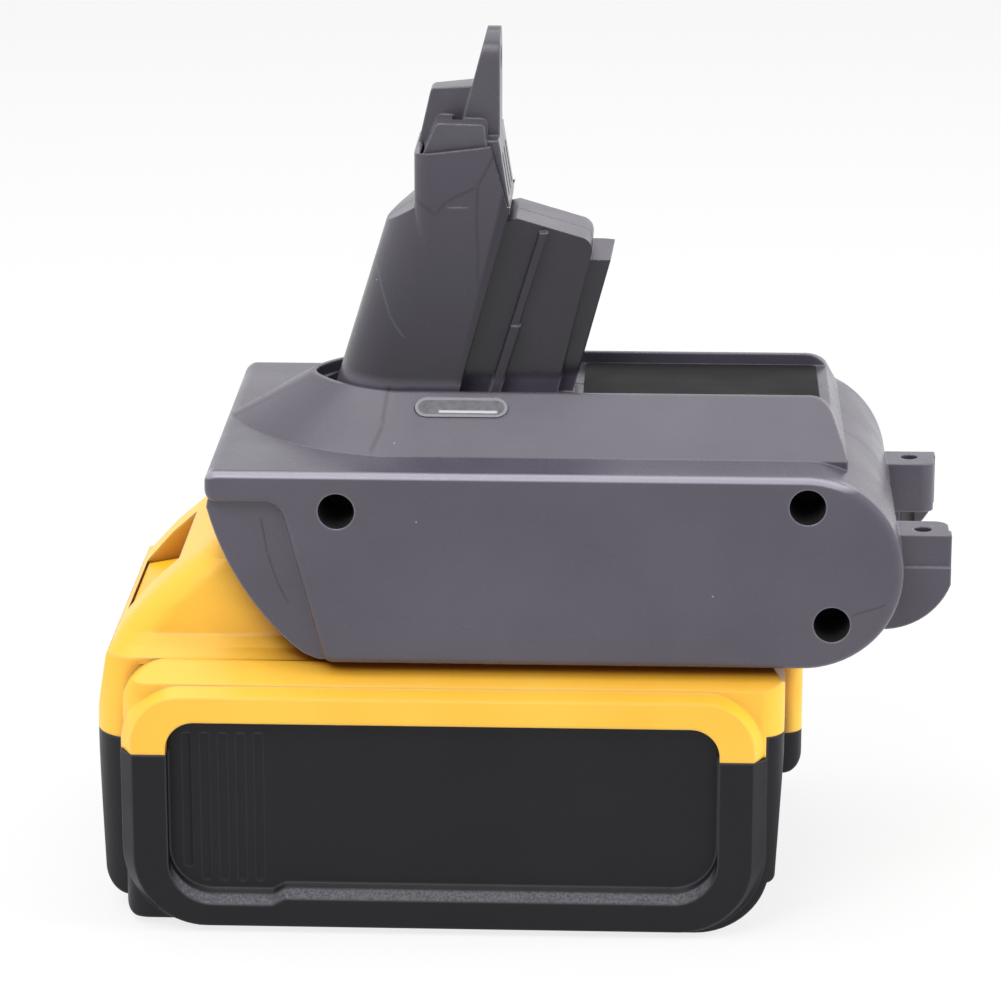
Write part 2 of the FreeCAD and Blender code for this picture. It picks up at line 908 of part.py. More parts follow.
def neck_shell():
    """The upright neck above the shoulder: rounded front corners, a rising rim and a leaning rear."""
    neck = Piece("Neck")
    low = D.shoulder_low_z - 2
    rear = D.post_top_rear + 1
    high = D.neck_rear_top + 1
    half = D.neck_half
    neck.pad("XY", low, high, [at(D.neck_front, -half, D.neck_round), at(rear, -half), at(rear, half),
                               at(D.neck_front, half, D.neck_round)])
    beyond = rear + 1
    neck.pocket("XZ", -half - 1, half + 1, [at(D.neck_front - 1, D.neck_front_top - 0.1),
                                            at(D.neck_rear_x, D.neck_rear_top),
                                            at(D.post_top_rear - 0.2, D.post_top_z - 1), at(D.post_top_rear - 2, low - 1),
                                            at(beyond, low - 1), at(beyond, high + 1),
                                            at(D.neck_front - 1, high + 1)])
    return neck


def post_hollow():
    """The space inside the post, from the board chamber up to the open top of the neck."""
    hollow = Piece("PostHollow")
    half = D.post_bore_half
    low = D.chamber_top - 1
    knee = D.carrier_foot
    foot_front = post_x(low, D.post_foot_front, D.post_top_front) + D.post_wall + 3
    foot_rear = post_x(low, D.post_foot_rear, D.post_top_rear) - D.post_wall
    knee_front = D.neck_front + D.neck_wall
    knee_rear = post_x(knee, D.post_foot_rear, D.post_top_rear) - D.post_wall
    hollow.pad("XZ", -half, half, [at(foot_front, low), at(knee_front, knee + 1), at(knee_rear, knee + 1),
                                   at(foot_rear, low)])
    wide = D.carrier_half + 0.2
    hollow.pad("XZ", -wide, wide, [at(knee_front, knee), at(knee_front, D.neck_rear_top + 8),
                                   at(2, D.neck_rear_top + 8), at(D.post_top_rear + 2.4, D.block_lean_top),
                                   at(D.post_top_rear - D.post_wall, D.block_lean_top - 1),
                                   at(D.post_top_rear - D.post_wall, knee)])
    return hollow


def block_rear(z):
    """The x of the block's leaning rear face at height z."""
    return lean(D.block_foot_x, D.post_foot_z + 4.1, D.block_top_x, D.block_top_z - 3, z)


def guide_block():
    """The block behind the post, with a rib down each side."""
    block = Piece("Block")
    foot = D.post_foot_z + 1
    profile = [at(D.post_foot_rear - 5, foot), at(D.post_top_rear - 4, D.block_lean_top + 1.1),
               at(D.post_top_rear, D.block_lean_top), at(D.block_top_x, D.block_top_z, D.block_round),
               at(block_rear(foot), foot)]
    block.pad("XZ", -D.block_half, D.block_half, profile)
    rib = D.rib_width
    top = D.block_top_z + 1.6
    band = [at(D.rib_foot_x, foot), at(D.rib_top_x, top), at(D.rib_top_x + rib, top), at(D.rib_foot_x + rib, foot)]
    wide = D.block_half + D.rib_proud
    block.pad("XZ", -wide, wide, band)
    joint = (foot + top) / 2
    joint_x = (D.rib_foot_x + D.rib_top_x) / 2
    step = rib + 0.3
    block.pad("XZ", -wide - 0.3, wide + 0.3, [at(D.rib_foot_x, foot), at(joint_x, joint), at(joint_x + step, joint),
                                              at(D.rib_foot_x + step, foot)])
    return block


def guide_rail():
    """The rail on the block's rear face. Its upper end falls away to both sides, to lead the handle on."""
    guide = Piece("Guide")
    foot = D.post_foot_z + 1
    half = D.guide_half
    reach = D.guide_reach
    high = D.block_top_z - 0.6
    rail = [at(block_rear(foot) - 3, foot), at(block_rear(high) - 3, high), at(block_rear(high) + reach, high - 0.9),
            at(block_rear(foot) + reach, foot)]
    guide.pad("XZ", -half, half, rail)
    drop = D.guide_bevel
    roof = [at(-half - 1, high - drop), at(-half, high - drop), at(0, high - 0.6), at(half, high - drop),
            at(half + 1, high - drop), at(half + 1, high + 1), at(-half - 1, high + 1)]
    guide.pocket("YZ", block_rear(high) - 4, block_rear(high) + reach + 1, roof)
    return guide


def ears():
    """Two ears at the round end, each with an upright hole in a cap on its outer wall."""
    ear = Piece("Ear")
    root = D.round_end_x + 6
    outer = D.ear_outer
    wall = [at(root, D.ear_low - 0.6), at(D.ear_right - 12, D.ear_low), through(D.ear_right - 3.6, D.ear_low + 2.4),
            at(D.ear_right, D.ear_low + 7.4), at(D.ear_right, D.ear_top), at(root, D.ear_top)]
    ear.pad("XZ", -outer, -(outer - D.ear_wall), wall)
    step = D.ear_step
    ear.pocket("XZ", -outer, -(outer - step), rectangle(root - 1, D.ear_right + 1, D.ear_top - D.ear_step_z, D.ear_top + 1))
    cap = rectangle(root, D.ear_right - 0.3, -outer + step, -D.ear_inner)
    ear.pad("XY", D.ear_top - D.ear_cap, D.ear_top, cap)
    corner_x = D.ear_right - 0.3
    ear.fillet(2.2, lambda e: runs_along(e, "Z") and lies_at(e, "Y", -D.ear_inner) and lies_at(e, "X", corner_x))
    ear.pocket("XY", D.ear_low, D.ear_top + 1, Disc(D.ear_hole_x, -D.ear_hole_y, D.ear_hole_radius))
    return [ear, mirrored("FarEar", ear)]


def screw_places():
    return [(D.screw_left_x, D.screw_left_z), (D.screw_right_x, D.screw_right_z), (D.screw_low_x, D.screw_low_z)]


def lens_body(name, grow, depth, proud):
    """The stadium of the light, square to the mound's sloping side."""
    lens = Piece(name)
    grown = D.lens_width + grow * 2
    lens.pad("XY", -depth, proud, slot(size(0), size(0), D.lens_length + grow * 2, grown))
    rise = D.mound_top - D.deck_top
    run = D.mound_foot_half - D.mound_rim_half
    angle = math.degrees(math.atan2(rise.value, run.value))
    lens.body.Placement.Rotation = FreeCAD.Rotation(FreeCAD.Vector(1, 0, 0), angle)
    lens.body.setExpression("Placement.Rotation.Angle", "atan(%s)" % (rise / run).formula)
    surface = D.deck_top + (D.lens_y + D.mound_foot_half) * rise / run
    put(lens.body, D.lens_x, D.lens_y, surface)
    return lens


def adapter_housing():
    """The two halves of the adapter's housing, which part at y = 0."""
    recess = Piece("Recess")
    floor = D.mound_top - D.recess_depth
    recess.pad("XY", floor, D.mound_top + 2, recess_outline())
    well = Piece("Well")
    half = D.mound_rim_half - D.recess_land
    left = D.mound_rim_left + D.recess_land
    well.pad("XY", floor - D.well_depth, floor + 1,
             [at(D.well_right, -half + 1.5), at(D.well_right, half - 1.5), at(left + 5, half - 5),
              through(left + 1, 0), at(left + 5, -half + 5)])
    deck = cut("Deck", fuse("DeckForm", adapter_base(), adapter_mound()), recess, well)
    post = fuse("PostForm", post_shell(), neck_shell(), guide_block(), guide_rail())
    whole = fuse("AdapterForm", deck, post, *ears())
    hollow = cut("AdapterShell", whole, channel(), board_chamber(), post_hollow())
    halves = []
    reach = D.deck_half + 10
    far_x = D.ear_right + 10
    gap = D.parting_gap / 2
    for name, low, high in (("Near", -reach, -gap), ("Far", gap, reach)):
        side = box(name + "Side", -far_x, far_x, low, high, 0, D.tongue_top + 10)
        halves.append(common(name + "Half", hollow, side))
    near_tools = [lens_body("LensSeat", D.lens_fit, D.lens_depth + 2, size(2))]
    far_tools = []
    for index, (x, z) in enumerate(screw_places()):
        bore_length = D.deck_half + D.screw_seat
        clearance = D.screw_radius + D.screw_fit
        near_tools.append(rod("ScrewBore%d" % index, "Y", D.screw_bore_radius, bore_length, x, -D.deck_half, z))
        near_tools.append(rod("ScrewWay%d" % index, "Y", clearance, D.deck_half, x, -D.deck_half, z))
        far_tools.append(rod("ScrewPilot%d" % index, "Y", clearance, D.screw_end + 1, x, 0, z))
    node("housing_near_half", cut("HousingNear", halves[0], *near_tools))
    node("housing_far_half", cut("HousingFar", halves[1], *far_tools))


def housing_screws():
    """Three screws that pull the far half against the near one."""
    screws = []
    for index, (x, z) in enumerate(screw_places()):
        head_start = D.screw_seat - D.screw_head_height
        head = rod("ScrewHead%d" % index, "Y", D.screw_head_radius, D.screw_head_height, x, head_start, z)
        shank = rod("ScrewShank%d" % index, "Y", D.screw_radius, D.screw_end - D.screw_seat, x, D.screw_seat, z)
        screws.append(fuse("Screw%d" % index, head, shank))
    node("housing_screws", group("HousingScrews", screws))


def terminal_carrier():
    """The insert in the neck: cap, spine, tongue with its eye, and the slots for the contacts."""
    carrier = Piece("Carrier")
    front = D.neck_front + D.neck_wall + 0.2
    back = D.tongue_back
    foot = D.carrier_foot + 0.2
    knee = D.carrier_knee_z
    slope_x = D.carrier_slope_foot_x
    slope_z = D.carrier_slope_foot_z
    inner_rear = D.post_top_rear - D.post_wall - 0.2
    cap = [at(front, foot), at(front, D.neck_front_top - 0.6), at(front + 2.4, D.cap_top, 0.8),
           at(D.tongue_back - 2.2, D.cap_top - 0.2, 0.8), at(D.tongue_back - 1.9, knee - 2), at(inner_rear, foot)]
    carrier.pad("XZ", -D.carrier_half, D.carrier_half, cap)
    face_half = D.carrier_half - 0.8
    face = [at(inner_rear - 1.5, slope_z - 2), at(D.tongue_back - 2.5, knee), at(back, knee), at(slope_x, slope_z),
            at(slope_x - 0.1, D.block_lean_top + 0.5), at(inner_rear, D.block_lean_top + 0.1)]
    carrier.pad("XZ", -face_half, face_half, face)
    eye = D.tongue_top - D.tongue_radius
    half = D.tongue_radius
    root = back - D.tongue_root_thick
    tip = back - D.tongue_tip_thick
    drop = (root - tip) * (D.tongue_top - knee) / (D.tongue_top - D.spine_top)
    carrier.pad("YZ", tip + drop, back, [at(-half, knee - 2), at(half, knee - 2), at(half, eye), through(size(0), D.tongue_top),
                                         at(-half, eye)])
    slant = [at(tip + drop - 1, knee), at(tip + drop, knee), at(tip, D.tongue_top + 0.3),
             at(tip + drop - 1, D.tongue_top + 0.3)]
    carrier.pocket("XZ", -half - 1, half + 1, slant)
    carrier.pocket("YZ", tip + drop - 1, back + 1, Disc(0, eye, D.tongue_hole_radius))
    slots = Piece("CarrierSlots")
    for step in (-1, 0, 1):
        y = D.slot_pitch * step
        width = D.slot_width / 2
        slots.pad("XY", D.slot_low, D.slot_high, rectangle(back - 1.9, 2, y - width, y + width))
    node("terminal_carrier", cut("TerminalCarrier", fuse("CarrierForm", carrier, carrier_spine()), slots))


def carrier_spine():
    """The carrier's upright rib, thinner at the front than at the tongue, with its lip over the neck's wall."""
    spine = Piece("Spine")
    front = D.neck_front + D.neck_wall + 0.2
    lip = D.neck_front + 0.4
    back = D.tongue_back - D.tongue_tip_thick + 1
    low = D.carrier_foot + 6
    high = D.spine_top + 1.6
    thin = D.spine_half * 0.55
    spine.pad("XY", low, high, [at(lip, -thin), at(back, -D.spine_half), at(back, D.spine_half), at(lip, thin)])
    ledge = D.neck_front_top + 0.5
    spine.pocket("XZ", -D.spine_half - 1, D.spine_half + 1, [
        at(lip - 1, low - 1), at(front, low - 1), at(front, ledge), at(lip, ledge), at(lip + 2.0, D.spine_top, 0.9),
        at(back + 1, D.spine_top + 0.9), at(back + 1, high + 1), at(lip - 1, high + 1)])
    return spine


def vacuum_contacts():
    """Three sprung strips behind the carrier's slots."""
    strips = []
    for index, step in enumerate((-1, 0, 1)):
        y = D.slot_pitch * step
        half = D.slot_width / 2 - 0.15
        x = D.tongue_back - 1.6
        strips.append(box("Contact%d" % index, x, x + D.contact_thick, y - half, y + half,
                          D.slot_low + 0.2, D.slot_high - 0.2))
    node("vacuum_contacts", group("VacuumContacts", strips))


def adapter_light():
    """The clear light guide in the mound's side, with two lamps on a small board behind it."""
    node("indicator_lens", lens_body("Lens", size(0), D.lens_depth, D.lens_proud))
    half = D.lens_length / 2 + 2 - D.board_fit
    y_low = D.lens_y - D.lamp_room_near + D.board_fit
    y_high = D.lens_y + D.lamp_room_far - D.board_fit
    low = D.chamber_top + 0.2
    node("indicator_board", box("IndicatorBoard", D.lens_x - half, D.lens_x + half, y_low, y_high, low, low + 1))
    lamps = []
    for index, side in enumerate((-1, 1)):
        x = D.lens_x + D.lamp_x * side
        y = D.lens_y + D.lamp_y
        lamps.append(box("Lamp%d" % index, x - 1.4, x + 1.4, y - 0.9, y + 0.9, low + 1, low + 2))
    node("indicator_leds", group("IndicatorLamps", lamps))


def adapter_electronics():
    """The adapter's board, what stands on it, and the leads to the terminal carrier."""
    low = D.chamber_low + D.board_lift
    top = low + D.board_thick
    fit = D.board_fit
    half = D.chamber_half - fit
    node("converter_board", box("ConverterBoard", D.chamber_left + fit, D.chamber_right - fit, -half, half, low, top))
    cans = [rod("Can%d" % i, "Z", D.can_radius, D.can_height, D.can_x + D.can_pitch * i, D.can_y, top) for i in range(2)]
    node("capacitors", group("Capacitors", cans))
    core = rod("InductorCore", "Z", D.inductor_radius, D.inductor_height, D.inductor_x, D.inductor_y, top)
    bore = rod("InductorBore", "Z", D.inductor_bore, D.inductor_height, D.inductor_x, D.inductor_y, top)
    node("inductor", cut("Inductor", core, bore))
    chips = []
    for index in range(3):
        x = D.transistor_x + D.can_pitch * index
        y = D.transistor_y
        chips.append(box("Transistor%d" % index, x, x + D.transistor_length, y, y + D.transistor_width,
                         top, top + D.transistor_height))
    node("power_transistors", group("Transistors", chips))
    for name, side in (("positive_lead", -1), ("negative_lead", 1)):
        node(name, lead(name.title().replace("_", ""), D.lead_spread * side, top))


def lead(name, y, start):
    """An insulated lead: from the board, leaning with the post, up to the carrier's foot."""
    wire = Piece(name)
    foot_x = D.post_foot_rear - D.lead_foot_in
    end_x = D.neck_front + D.lead_end_in
    wire.loft("XY", (start, [Disc(foot_x, y, D.lead_radius)]), (D.carrier_foot + 0.1, [Disc(end_x, y, D.lead_radius)]))
    return wire


def blade_places():
    return [D.blade_pitch * step for step in (-2.5, -0.5, 0.5, 2.5)]


def adapter_blades():
    """The insulating holder at the channel's end, and the blades that go into the pack's terminals."""
    left = D.blade_holder_left
    half = D.blade_holder_half
    top = D.rail_top + D.rail_fit - 0.3
    holder = box("HolderForm", left, D.channel_end - 0.1, -half, half, D.blade_holder_low, top)
    blades = []
    slots = []
    for index, y in enumerate(blade_places()):
        half_thick = D.blade_thick / 2
        blades.append(box("Blade%d" % index, D.blade_tip, D.channel_end - 1.2, y - half_thick, y + half_thick,
                          D.blade_low, D.blade_high))
        room = half_thick + 0.05
        slots.append(box("BladeSlot%d" % index, left - 1, D.channel_end - 1.1, y - room, y + room,
                         D.blade_low - 0.05, D.blade_high + 0.05))
    node("blade_holder", cut("BladeHolder", holder, *slots))
    node("pack_blades", group("Blades", blades))


def label_plate():
    """A bare plate in the recess, where the real product has its printed label."""
    plate = Piece("Label")
    floor = D.mound_top - D.recess_depth
    plate.pad("XY", floor, floor + D.label_thick,
              rectangle(D.label_left, D.label_right, -D.label_half, D.label_half, 1.0))
    node("label_plate", plate)


# Pack housings

def pack_end_plan(left, half, depth):
    """The plan of the narrow block at the release end, which goes this deep into the wide one."""
    inside = D.pack_shoulder_left + depth
    return [at(left, -half, D.end_corner), at(inside, -half), at(inside, half), at(left, half, D.end_corner)]


def pack_main_plan():
    left = D.pack_shoulder_left
    return rectangle(left, D.pack_right, -D.pack_half, D.pack_half, D.pack_corner)


def corner_arc(centre_x, centre_z, radius):
    """A quarter circle that runs up from a level bottom to an upright right side."""
    reach = radius * 0.70711
    return [at(centre_x, centre_z - radius), through(centre_x + reach, centre_z - reach), at(centre_x + radius, centre_z)]


def end_profile():
    """The silhouette of the narrow block at the release end: a drafted face and a rounded lower edge."""
    profile = Piece("TubEndSide")
    wide = D.pack_half + 2
    left = D.pack_left
    profile.pad("XZ", -wide, wide, [at(left + D.pack_draft, D.end_low, D.end_low_round), at(D.cell_first_x, D.end_low),
                                    at(D.cell_first_x, D.seam_z), at(left, D.seam_z)])
    return profile


def main_profile():
    """The main block's silhouette. It follows the bumper's corner at the right, below a step."""
    profile = Piece("TubMainSide")
    wide = D.pack_half + 2
    left = D.pack_shoulder_left
    radius = D.bumper_low_round - 1.6
    last = D.cell_last_x - 0.6
    profile.pad("XZ", -wide, wide,
                [at(left, D.foot_left_z, D.foot_round), at(D.foot_left_x, D.foot_left_z), at(D.foot_left_x + 1.5, 0)]
                + corner_arc(last, radius, radius)
                + [at(last + radius, D.seam_z), at(left, D.seam_z)])
    profile.pad("XZ", -wide, wide, [at(last, D.end_step_z), at(D.pack_right - D.pack_draft, D.end_step_z, 1.2),
                                    at(D.pack_right, D.seam_z), at(last, D.seam_z)])
    return profile


def cell_room():
    """The room for the cells through both housings, and the one for the gauge at the release end."""
    room = Piece("CellRoom")
    wall = D.housing_wall
    half = D.pack_half - wall
    left = D.pack_shoulder_left + wall
    right = D.pack_right - wall
    radius = D.cell_radius + D.cell_fit * 4
    top = D.pack_top - D.deck_wall
    room.pad("XZ", -half, half, [at(left, D.deck_wall)] + corner_arc(D.cell_last_x, D.cell_low_z, radius)
             + [at(D.cell_last_x + radius, top), at(left, top, D.main_round - 3)])
    room.pad("XZ", -half, half, rectangle(D.cell_last_x, right, D.end_step_z + wall, top))
    end_half = D.pack_end_half - wall - 2
    room.pad("XY", D.deck_wall + 2, D.end_knee_z,
             rectangle(D.pack_left + wall + 0.7, D.pack_shoulder_left + wall + 2, -end_half, end_half))
    return room


def pack_screw_places():
    return [(D.screw_corner_x, -D.screw_corner_y), (D.screw_corner_x, D.screw_corner_y),
            (D.screw_snout_x, -D.screw_snout_y), (D.screw_snout_x, D.screw_snout_y)]


def bosses(name, low, high):
    """The two screw bosses in the corners at the release end, over one range of height."""
    return [rod("%s%d" % (name, i), "Z", D.pack_boss_radius, high - low, x, y, low)
            for i, (x, y) in enumerate(pack_screw_places()[:2])]


def side_pads(name, outlines):
    """The same outline in relief on both long sides, between two distances from the middle."""
    piece = Piece(name)
    for inner, outer, outline in outlines:
        piece.pad("XZ", -outer, -inner, outline)
        piece.pad("XZ", inner, outer, outline)
    return piece


def panel_outline(grow, low_left, low_right, foot=None):
    """The panel in each long side: rounded at the top, with a step in its lower edge."""
    left = D.panel_left - grow
    right = D.panel_right + grow
    top = D.panel_top + grow
    return [at(left, top, D.panel_top_round), at(left, low_left, foot), at(D.panel_step_x - 1, low_left),
            at(D.panel_step_x + 1, low_right), at(right, low_right, foot), at(right, top, D.panel_top_round)]


def tub_bumper(inset, low):
    round_low = D.bumper_low_round - inset
    left = D.bumper_left + inset
    right = D.bumper_right - inset
    return [at(left, D.seam_z), at(left, low, round_low), at(right, low, round_low), at(right, D.seam_z)]


def cover_bumper(inset, high):
    round_high = D.bumper_top_round - inset
    left = D.bumper_left + inset
    right = D.bumper_right - inset
    low = D.seam_z + D.seam_gap
    return [at(left, low), at(left, high, round_high), at(right, high, round_high), at(right, low)]


def bumper_pair(name, levels):
    """A raised bumper along each long side, through outlines at set distances from the middle."""
    near = Piece(name)
    near.loft("XZ", *[(distance, outline) for distance, outline in levels])
    return [near, mirrored(name + "Far", near)]


def bevel_height(distance):
    """How high the cover's sloping edge is at this distance from the middle."""
    return D.bevel_face_z + (D.bumper_half - distance) * (D.pack_top - D.bevel_face_z) / D.bevel_reach


def gauge_ways():
    """The openings for the charge gauge in the wall at the release end."""
    ways = Piece("GaugeWays")
    left = D.pack_left - 1
    room = D.pack_left + D.housing_wall + 2
    y = D.gauge_window_y
    z = D.gauge_z
    half = D.gauge_window_length / 2
    tall = D.gauge_window_height / 2
    ways.pad("YZ", left, room, rectangle(y - half, y + half, z - tall, z + tall, 1.5))
    ways.pad("YZ", left, room, Disc(D.gauge_button_y, z, D.gauge_button_radius + 0.15))
    return ways


def pack_lower_housing():
    """The black tub: drafted end, bumpers with a fluted panel, snout, and the tongues beside the panels."""
    end = Piece("TubEndPlan")
    end.pad("XY", D.end_low, D.seam_z, pack_end_plan(D.pack_left, D.pack_end_half, size(4)))
    main = Piece("TubMainPlan")
    main.pad("XY", 0, D.seam_z, pack_main_plan())
    core = fuse("TubCore", common("TubEnd", end, end_profile()), common("TubMain", main, main_profile()))
    bumpers = bumper_pair("TubBumper", [(D.pack_half - 3, tub_bumper(size(0), size(0))),
                                        (D.pack_half, tub_bumper(size(0), size(0))),
                                        (D.bumper_half, tub_bumper(D.bumper_inset, D.bumper_inset / 2))])
    snout = Piece("TubSnout")
    snout.pad("XY", D.snout_low, D.snout_seam, rectangle(D.pack_right - 3, D.snout_right, -D.snout_half, D.snout_half))
    snout.fillet(D.snout_round, lambda e: lies_at(e, "X", D.snout_right) and not lies_at(e, "Z", D.snout_seam))
    low_left = D.panel_low - D.panel_step
    ledge = D.panel_ledge
    inside = panel_outline(size(0), low_left + ledge, D.panel_low + ledge, D.panel_round)
    outside = panel_outline(size(0), low_left, D.panel_low, D.panel_round)
    panels = bumper_pair("TubPanels", [(D.pack_half, inside), (D.bumper_half + TINY, outside)])
    inner = D.pack_half - D.housing_wall
    foot = D.seam_z - 3
    tongues = side_pads("Tongues", [(inner, D.pack_half, panel_outline(size(0), foot, foot))])
    flutes = []
    for index in range(5):
        x = D.flute_first_x + D.flute_pitch * index
        depth = D.pack_half + D.flute_radius - D.flute_depth
        low = D.panel_low + D.panel_ledge + (3.0 if index == 0 else 0.8)
        for side in (-1, 1):
            title = "Flute%d%s" % (index, "FN"[side < 0])
            flutes.append(rod(title, "Z", D.flute_radius, D.panel_top - 2.4 - low, x, depth * side, low))
            end_ball = part("Sphere", title + "End")
            end_ball.Radius = bind(end_ball, "Radius", D.flute_radius)
            flutes.append(put(end_ball, x, depth * side, low))
    shell = cut("TubShell", fuse("TubForm", core, snout, *bumpers), cell_room(), *panels)
    body = fuse("TubBody", shell, tongues, end_lips("TubLip", size(0)), *bosses("TubBoss", D.deck_wall - 1, D.seam_z))
    tools = flutes + [gauge_ways()]
    for index, (x, y) in enumerate(pack_screw_places()):
        head = D.pack_head_radius + 0.2
        way = D.pack_screw_radius + 0.1
        tools.append(rod("TubHeadWay%d" % index, "Z", head, D.pack_screw_seat + 1, x, y, -1))
        tools.append(rod("TubScrewWay%d" % index, "Z", way, D.seam_z, x, y, 1))
    node("pack_lower_housing", cut("LowerHousing", body, *tools))


def hump_outline(left, right, half, corner):
    return [at(left, -half, corner), at(right, -half), at(right, half), at(left, half, corner)]


def hump_form():
    """The hump: a swelling face towards the release end, leaning sides that flare out at the foot."""
    slope = (D.hump_top - D.pack_top) / (D.hump_peak_x - D.hump_foot_x)
    lean_in = (D.hump_foot_half - D.hump_top_half) / (D.hump_top - D.pack_top)
    edge = D.hump_edge
    height = D.hump_top - D.pack_top
    knee = D.hump_top - D.hump_flare_z
    bands = [
        (height + 1, D.hump_swell * -0.4, D.hump_flare),
        (height, D.hump_swell * 0.3, D.hump_flare),
        (height - 1.2, D.hump_swell * 0.5, D.hump_flare * 0.45),
        (knee, D.hump_swell * 0.8, size(0)),
        (height * 0.56, D.hump_swell, size(0)),
        (height * 0.32, D.hump_swell * 0.6, size(0)),
        (edge, size(0), size(0)),
        (edge * 0.35, edge * -0.3, edge * -0.3),
        (size(0), edge * -0.9, edge * -0.9),
    ]
    levels = []
    for drop, swell, flare in bands:
        left = D.hump_peak_x - drop / slope - swell
        half = D.hump_top_half + drop * lean_in + flare
        levels.append((D.hump_top - drop, hump_outline(left, D.hump_right, half, D.hump_corner)))
    hump = Piece("Hump")
    hump.loft("XY", *levels)
    return hump


def end_lips(name, gap):
    """The tub's raised end wall, beside the snout. With a gap, it's the room that the cover leaves for it."""
    lips = Piece(name)
    low = D.seam_z - 0.5
    wall = D.housing_wall
    behind = D.pack_right - D.pack_corner - 1
    for side in (-1, 1):
        inner = (D.snout_half + 0.3 - gap) * side
        outer = D.pack_half * side
        lips.pad("XY", low, D.end_lip_z + gap, [
            at(behind, inner), at(D.pack_right, inner), at(D.pack_right, outer, D.pack_corner), at(behind, outer)])
    half = D.pack_half
    front = box(name + "Front", behind - 1, D.bumper_right - gap, -half - 1, half + 1, low - 1, D.end_lip_z + 1)
    room = box(name + "Room", behind - 1, D.pack_right - wall, wall - half, half - wall, low - 1, D.end_lip_z + 1)
    return cut(name + "Form", lips, front, room)


def pack_upper_housing():
    """The yellow cover: deck, hump with the button's window, and the rails the adapter slides on."""
    low = D.seam_z + D.seam_gap
    top = D.pack_top
    end = Piece("CoverEnd")
    end.pad("XY", low, top, pack_end_plan(D.pack_left, D.pack_end_half, D.main_round + 3))
    end_side = Piece("CoverEndSide")
    wide = D.pack_half + 2
    end_side.pad("XZ", -wide, wide, [at(D.pack_left, low), at(D.end_knee_x, D.end_knee_z), at(D.end_bend_x, D.end_bend_z),
                                     at(D.hump_foot_x - 0.6, top), at(D.pack_right, top), at(D.pack_right, low)])
    main = Piece("CoverMain")
    main.pad("XY", low, top, pack_main_plan())
    main_side = Piece("CoverMainSide")
    main_side.pad("XZ", -wide, wide, [
        at(D.pack_shoulder_left, low), at(D.pack_shoulder_left, top, D.main_round),
        at(D.pack_right - 2, top), at(D.pack_right, top - 2), at(D.pack_right, low)])
    half = D.bumper_half
    inner = half - D.bevel_reach
    root = D.pack_half - D.bumper_root
    bumpers = bumper_pair("CoverBumper", [
        (root, cover_bumper(size(0), bevel_height(root) - D.bumper_step)),
        (half, cover_bumper(D.bumper_inset, D.bevel_face_z))])
    bevel = Piece("CoverBevel")
    beyond = half + 1
    left = D.pack_left - 1
    right = D.pack_right + 1
    for side in (1, -1):
        bevel.pad("YZ", left, right, [
            at(beyond * side, bevel_height(beyond)), at(beyond * side, top + 2), at((inner - 1) * side, top + 2),
            at((inner - 1) * side, bevel_height(inner - 1))])
    hump = hump_form()
    rails = Piece("Rails")
    start = D.hump_right - 2
    rails.pad("XY", top - 1, D.rail_top, rectangle(start, D.rail_right, -D.neck_rail_half, D.neck_rail_half))
    rails.pad("XY", D.head_rail_low, D.rail_top, rectangle(start, D.rail_right, -D.head_rail_half, D.head_rail_half))
    rails.chamfer(1.0, lambda e: lies_at(e, "X", D.rail_right) and (runs_along(e, "Z") or lies_at(e, "Z", D.rail_top)))
    snout = Piece("CoverSnout")
    snout.pad("XY", D.snout_seam + D.seam_gap, top, rectangle(D.pack_right + 0.1, D.snout_right, -D.snout_half, D.snout_half))
    snout.pad("XY", low, top, rectangle(D.pack_right - 3, D.snout_right, -D.snout_half, D.snout_half))
    snout.fillet(D.snout_round, lambda e: lies_at(e, "X", D.snout_right) and runs_along(e, "Z"))
    block = cut("CoverBlock", common("CoverMainForm", main, main_side), bevel)
    form = fuse("CoverForm", block, common("CoverEndForm", end, end_side), *bumpers, hump, rails, snout)
    wall_inner = D.pack_half - D.housing_wall
    notch = side_pads("CoverNotches", [
        (wall_inner - 0.2, half + 1, panel_outline(D.seam_gap, D.seam_z - 1, D.seam_z - 1)),
    ])
    shell = cut("CoverShell", form, cell_room(), notch, hump_hollow(), rail_hollow(), gauge_ways(),
                end_lips("CoverLip", D.seam_gap))
    body = fuse("CoverBody", shell, *bosses("CoverBoss", low, D.pack_screw_seat + D.pack_screw_length + 2))
    tools = []
    for index, (x, y) in enumerate(pack_screw_places()):
        tools.append(rod("CoverPilot%d" % index, "Z", D.pack_screw_radius, D.pack_screw_seat + D.pack_screw_length + 1 - 24,
                         x, y, 24))
    for index, y in enumerate(blade_places()):
        room = D.terminal_slot / 2
        tools.append(box("CoverSlit%d" % index, D.rail_right - D.rail_wall - 1, D.rail_right + 1, y - room, y + room,
                         D.blade_low - 1, D.blade_high + 1))
    node("pack_upper_housing", cut("UpperHousing", body, *tools))


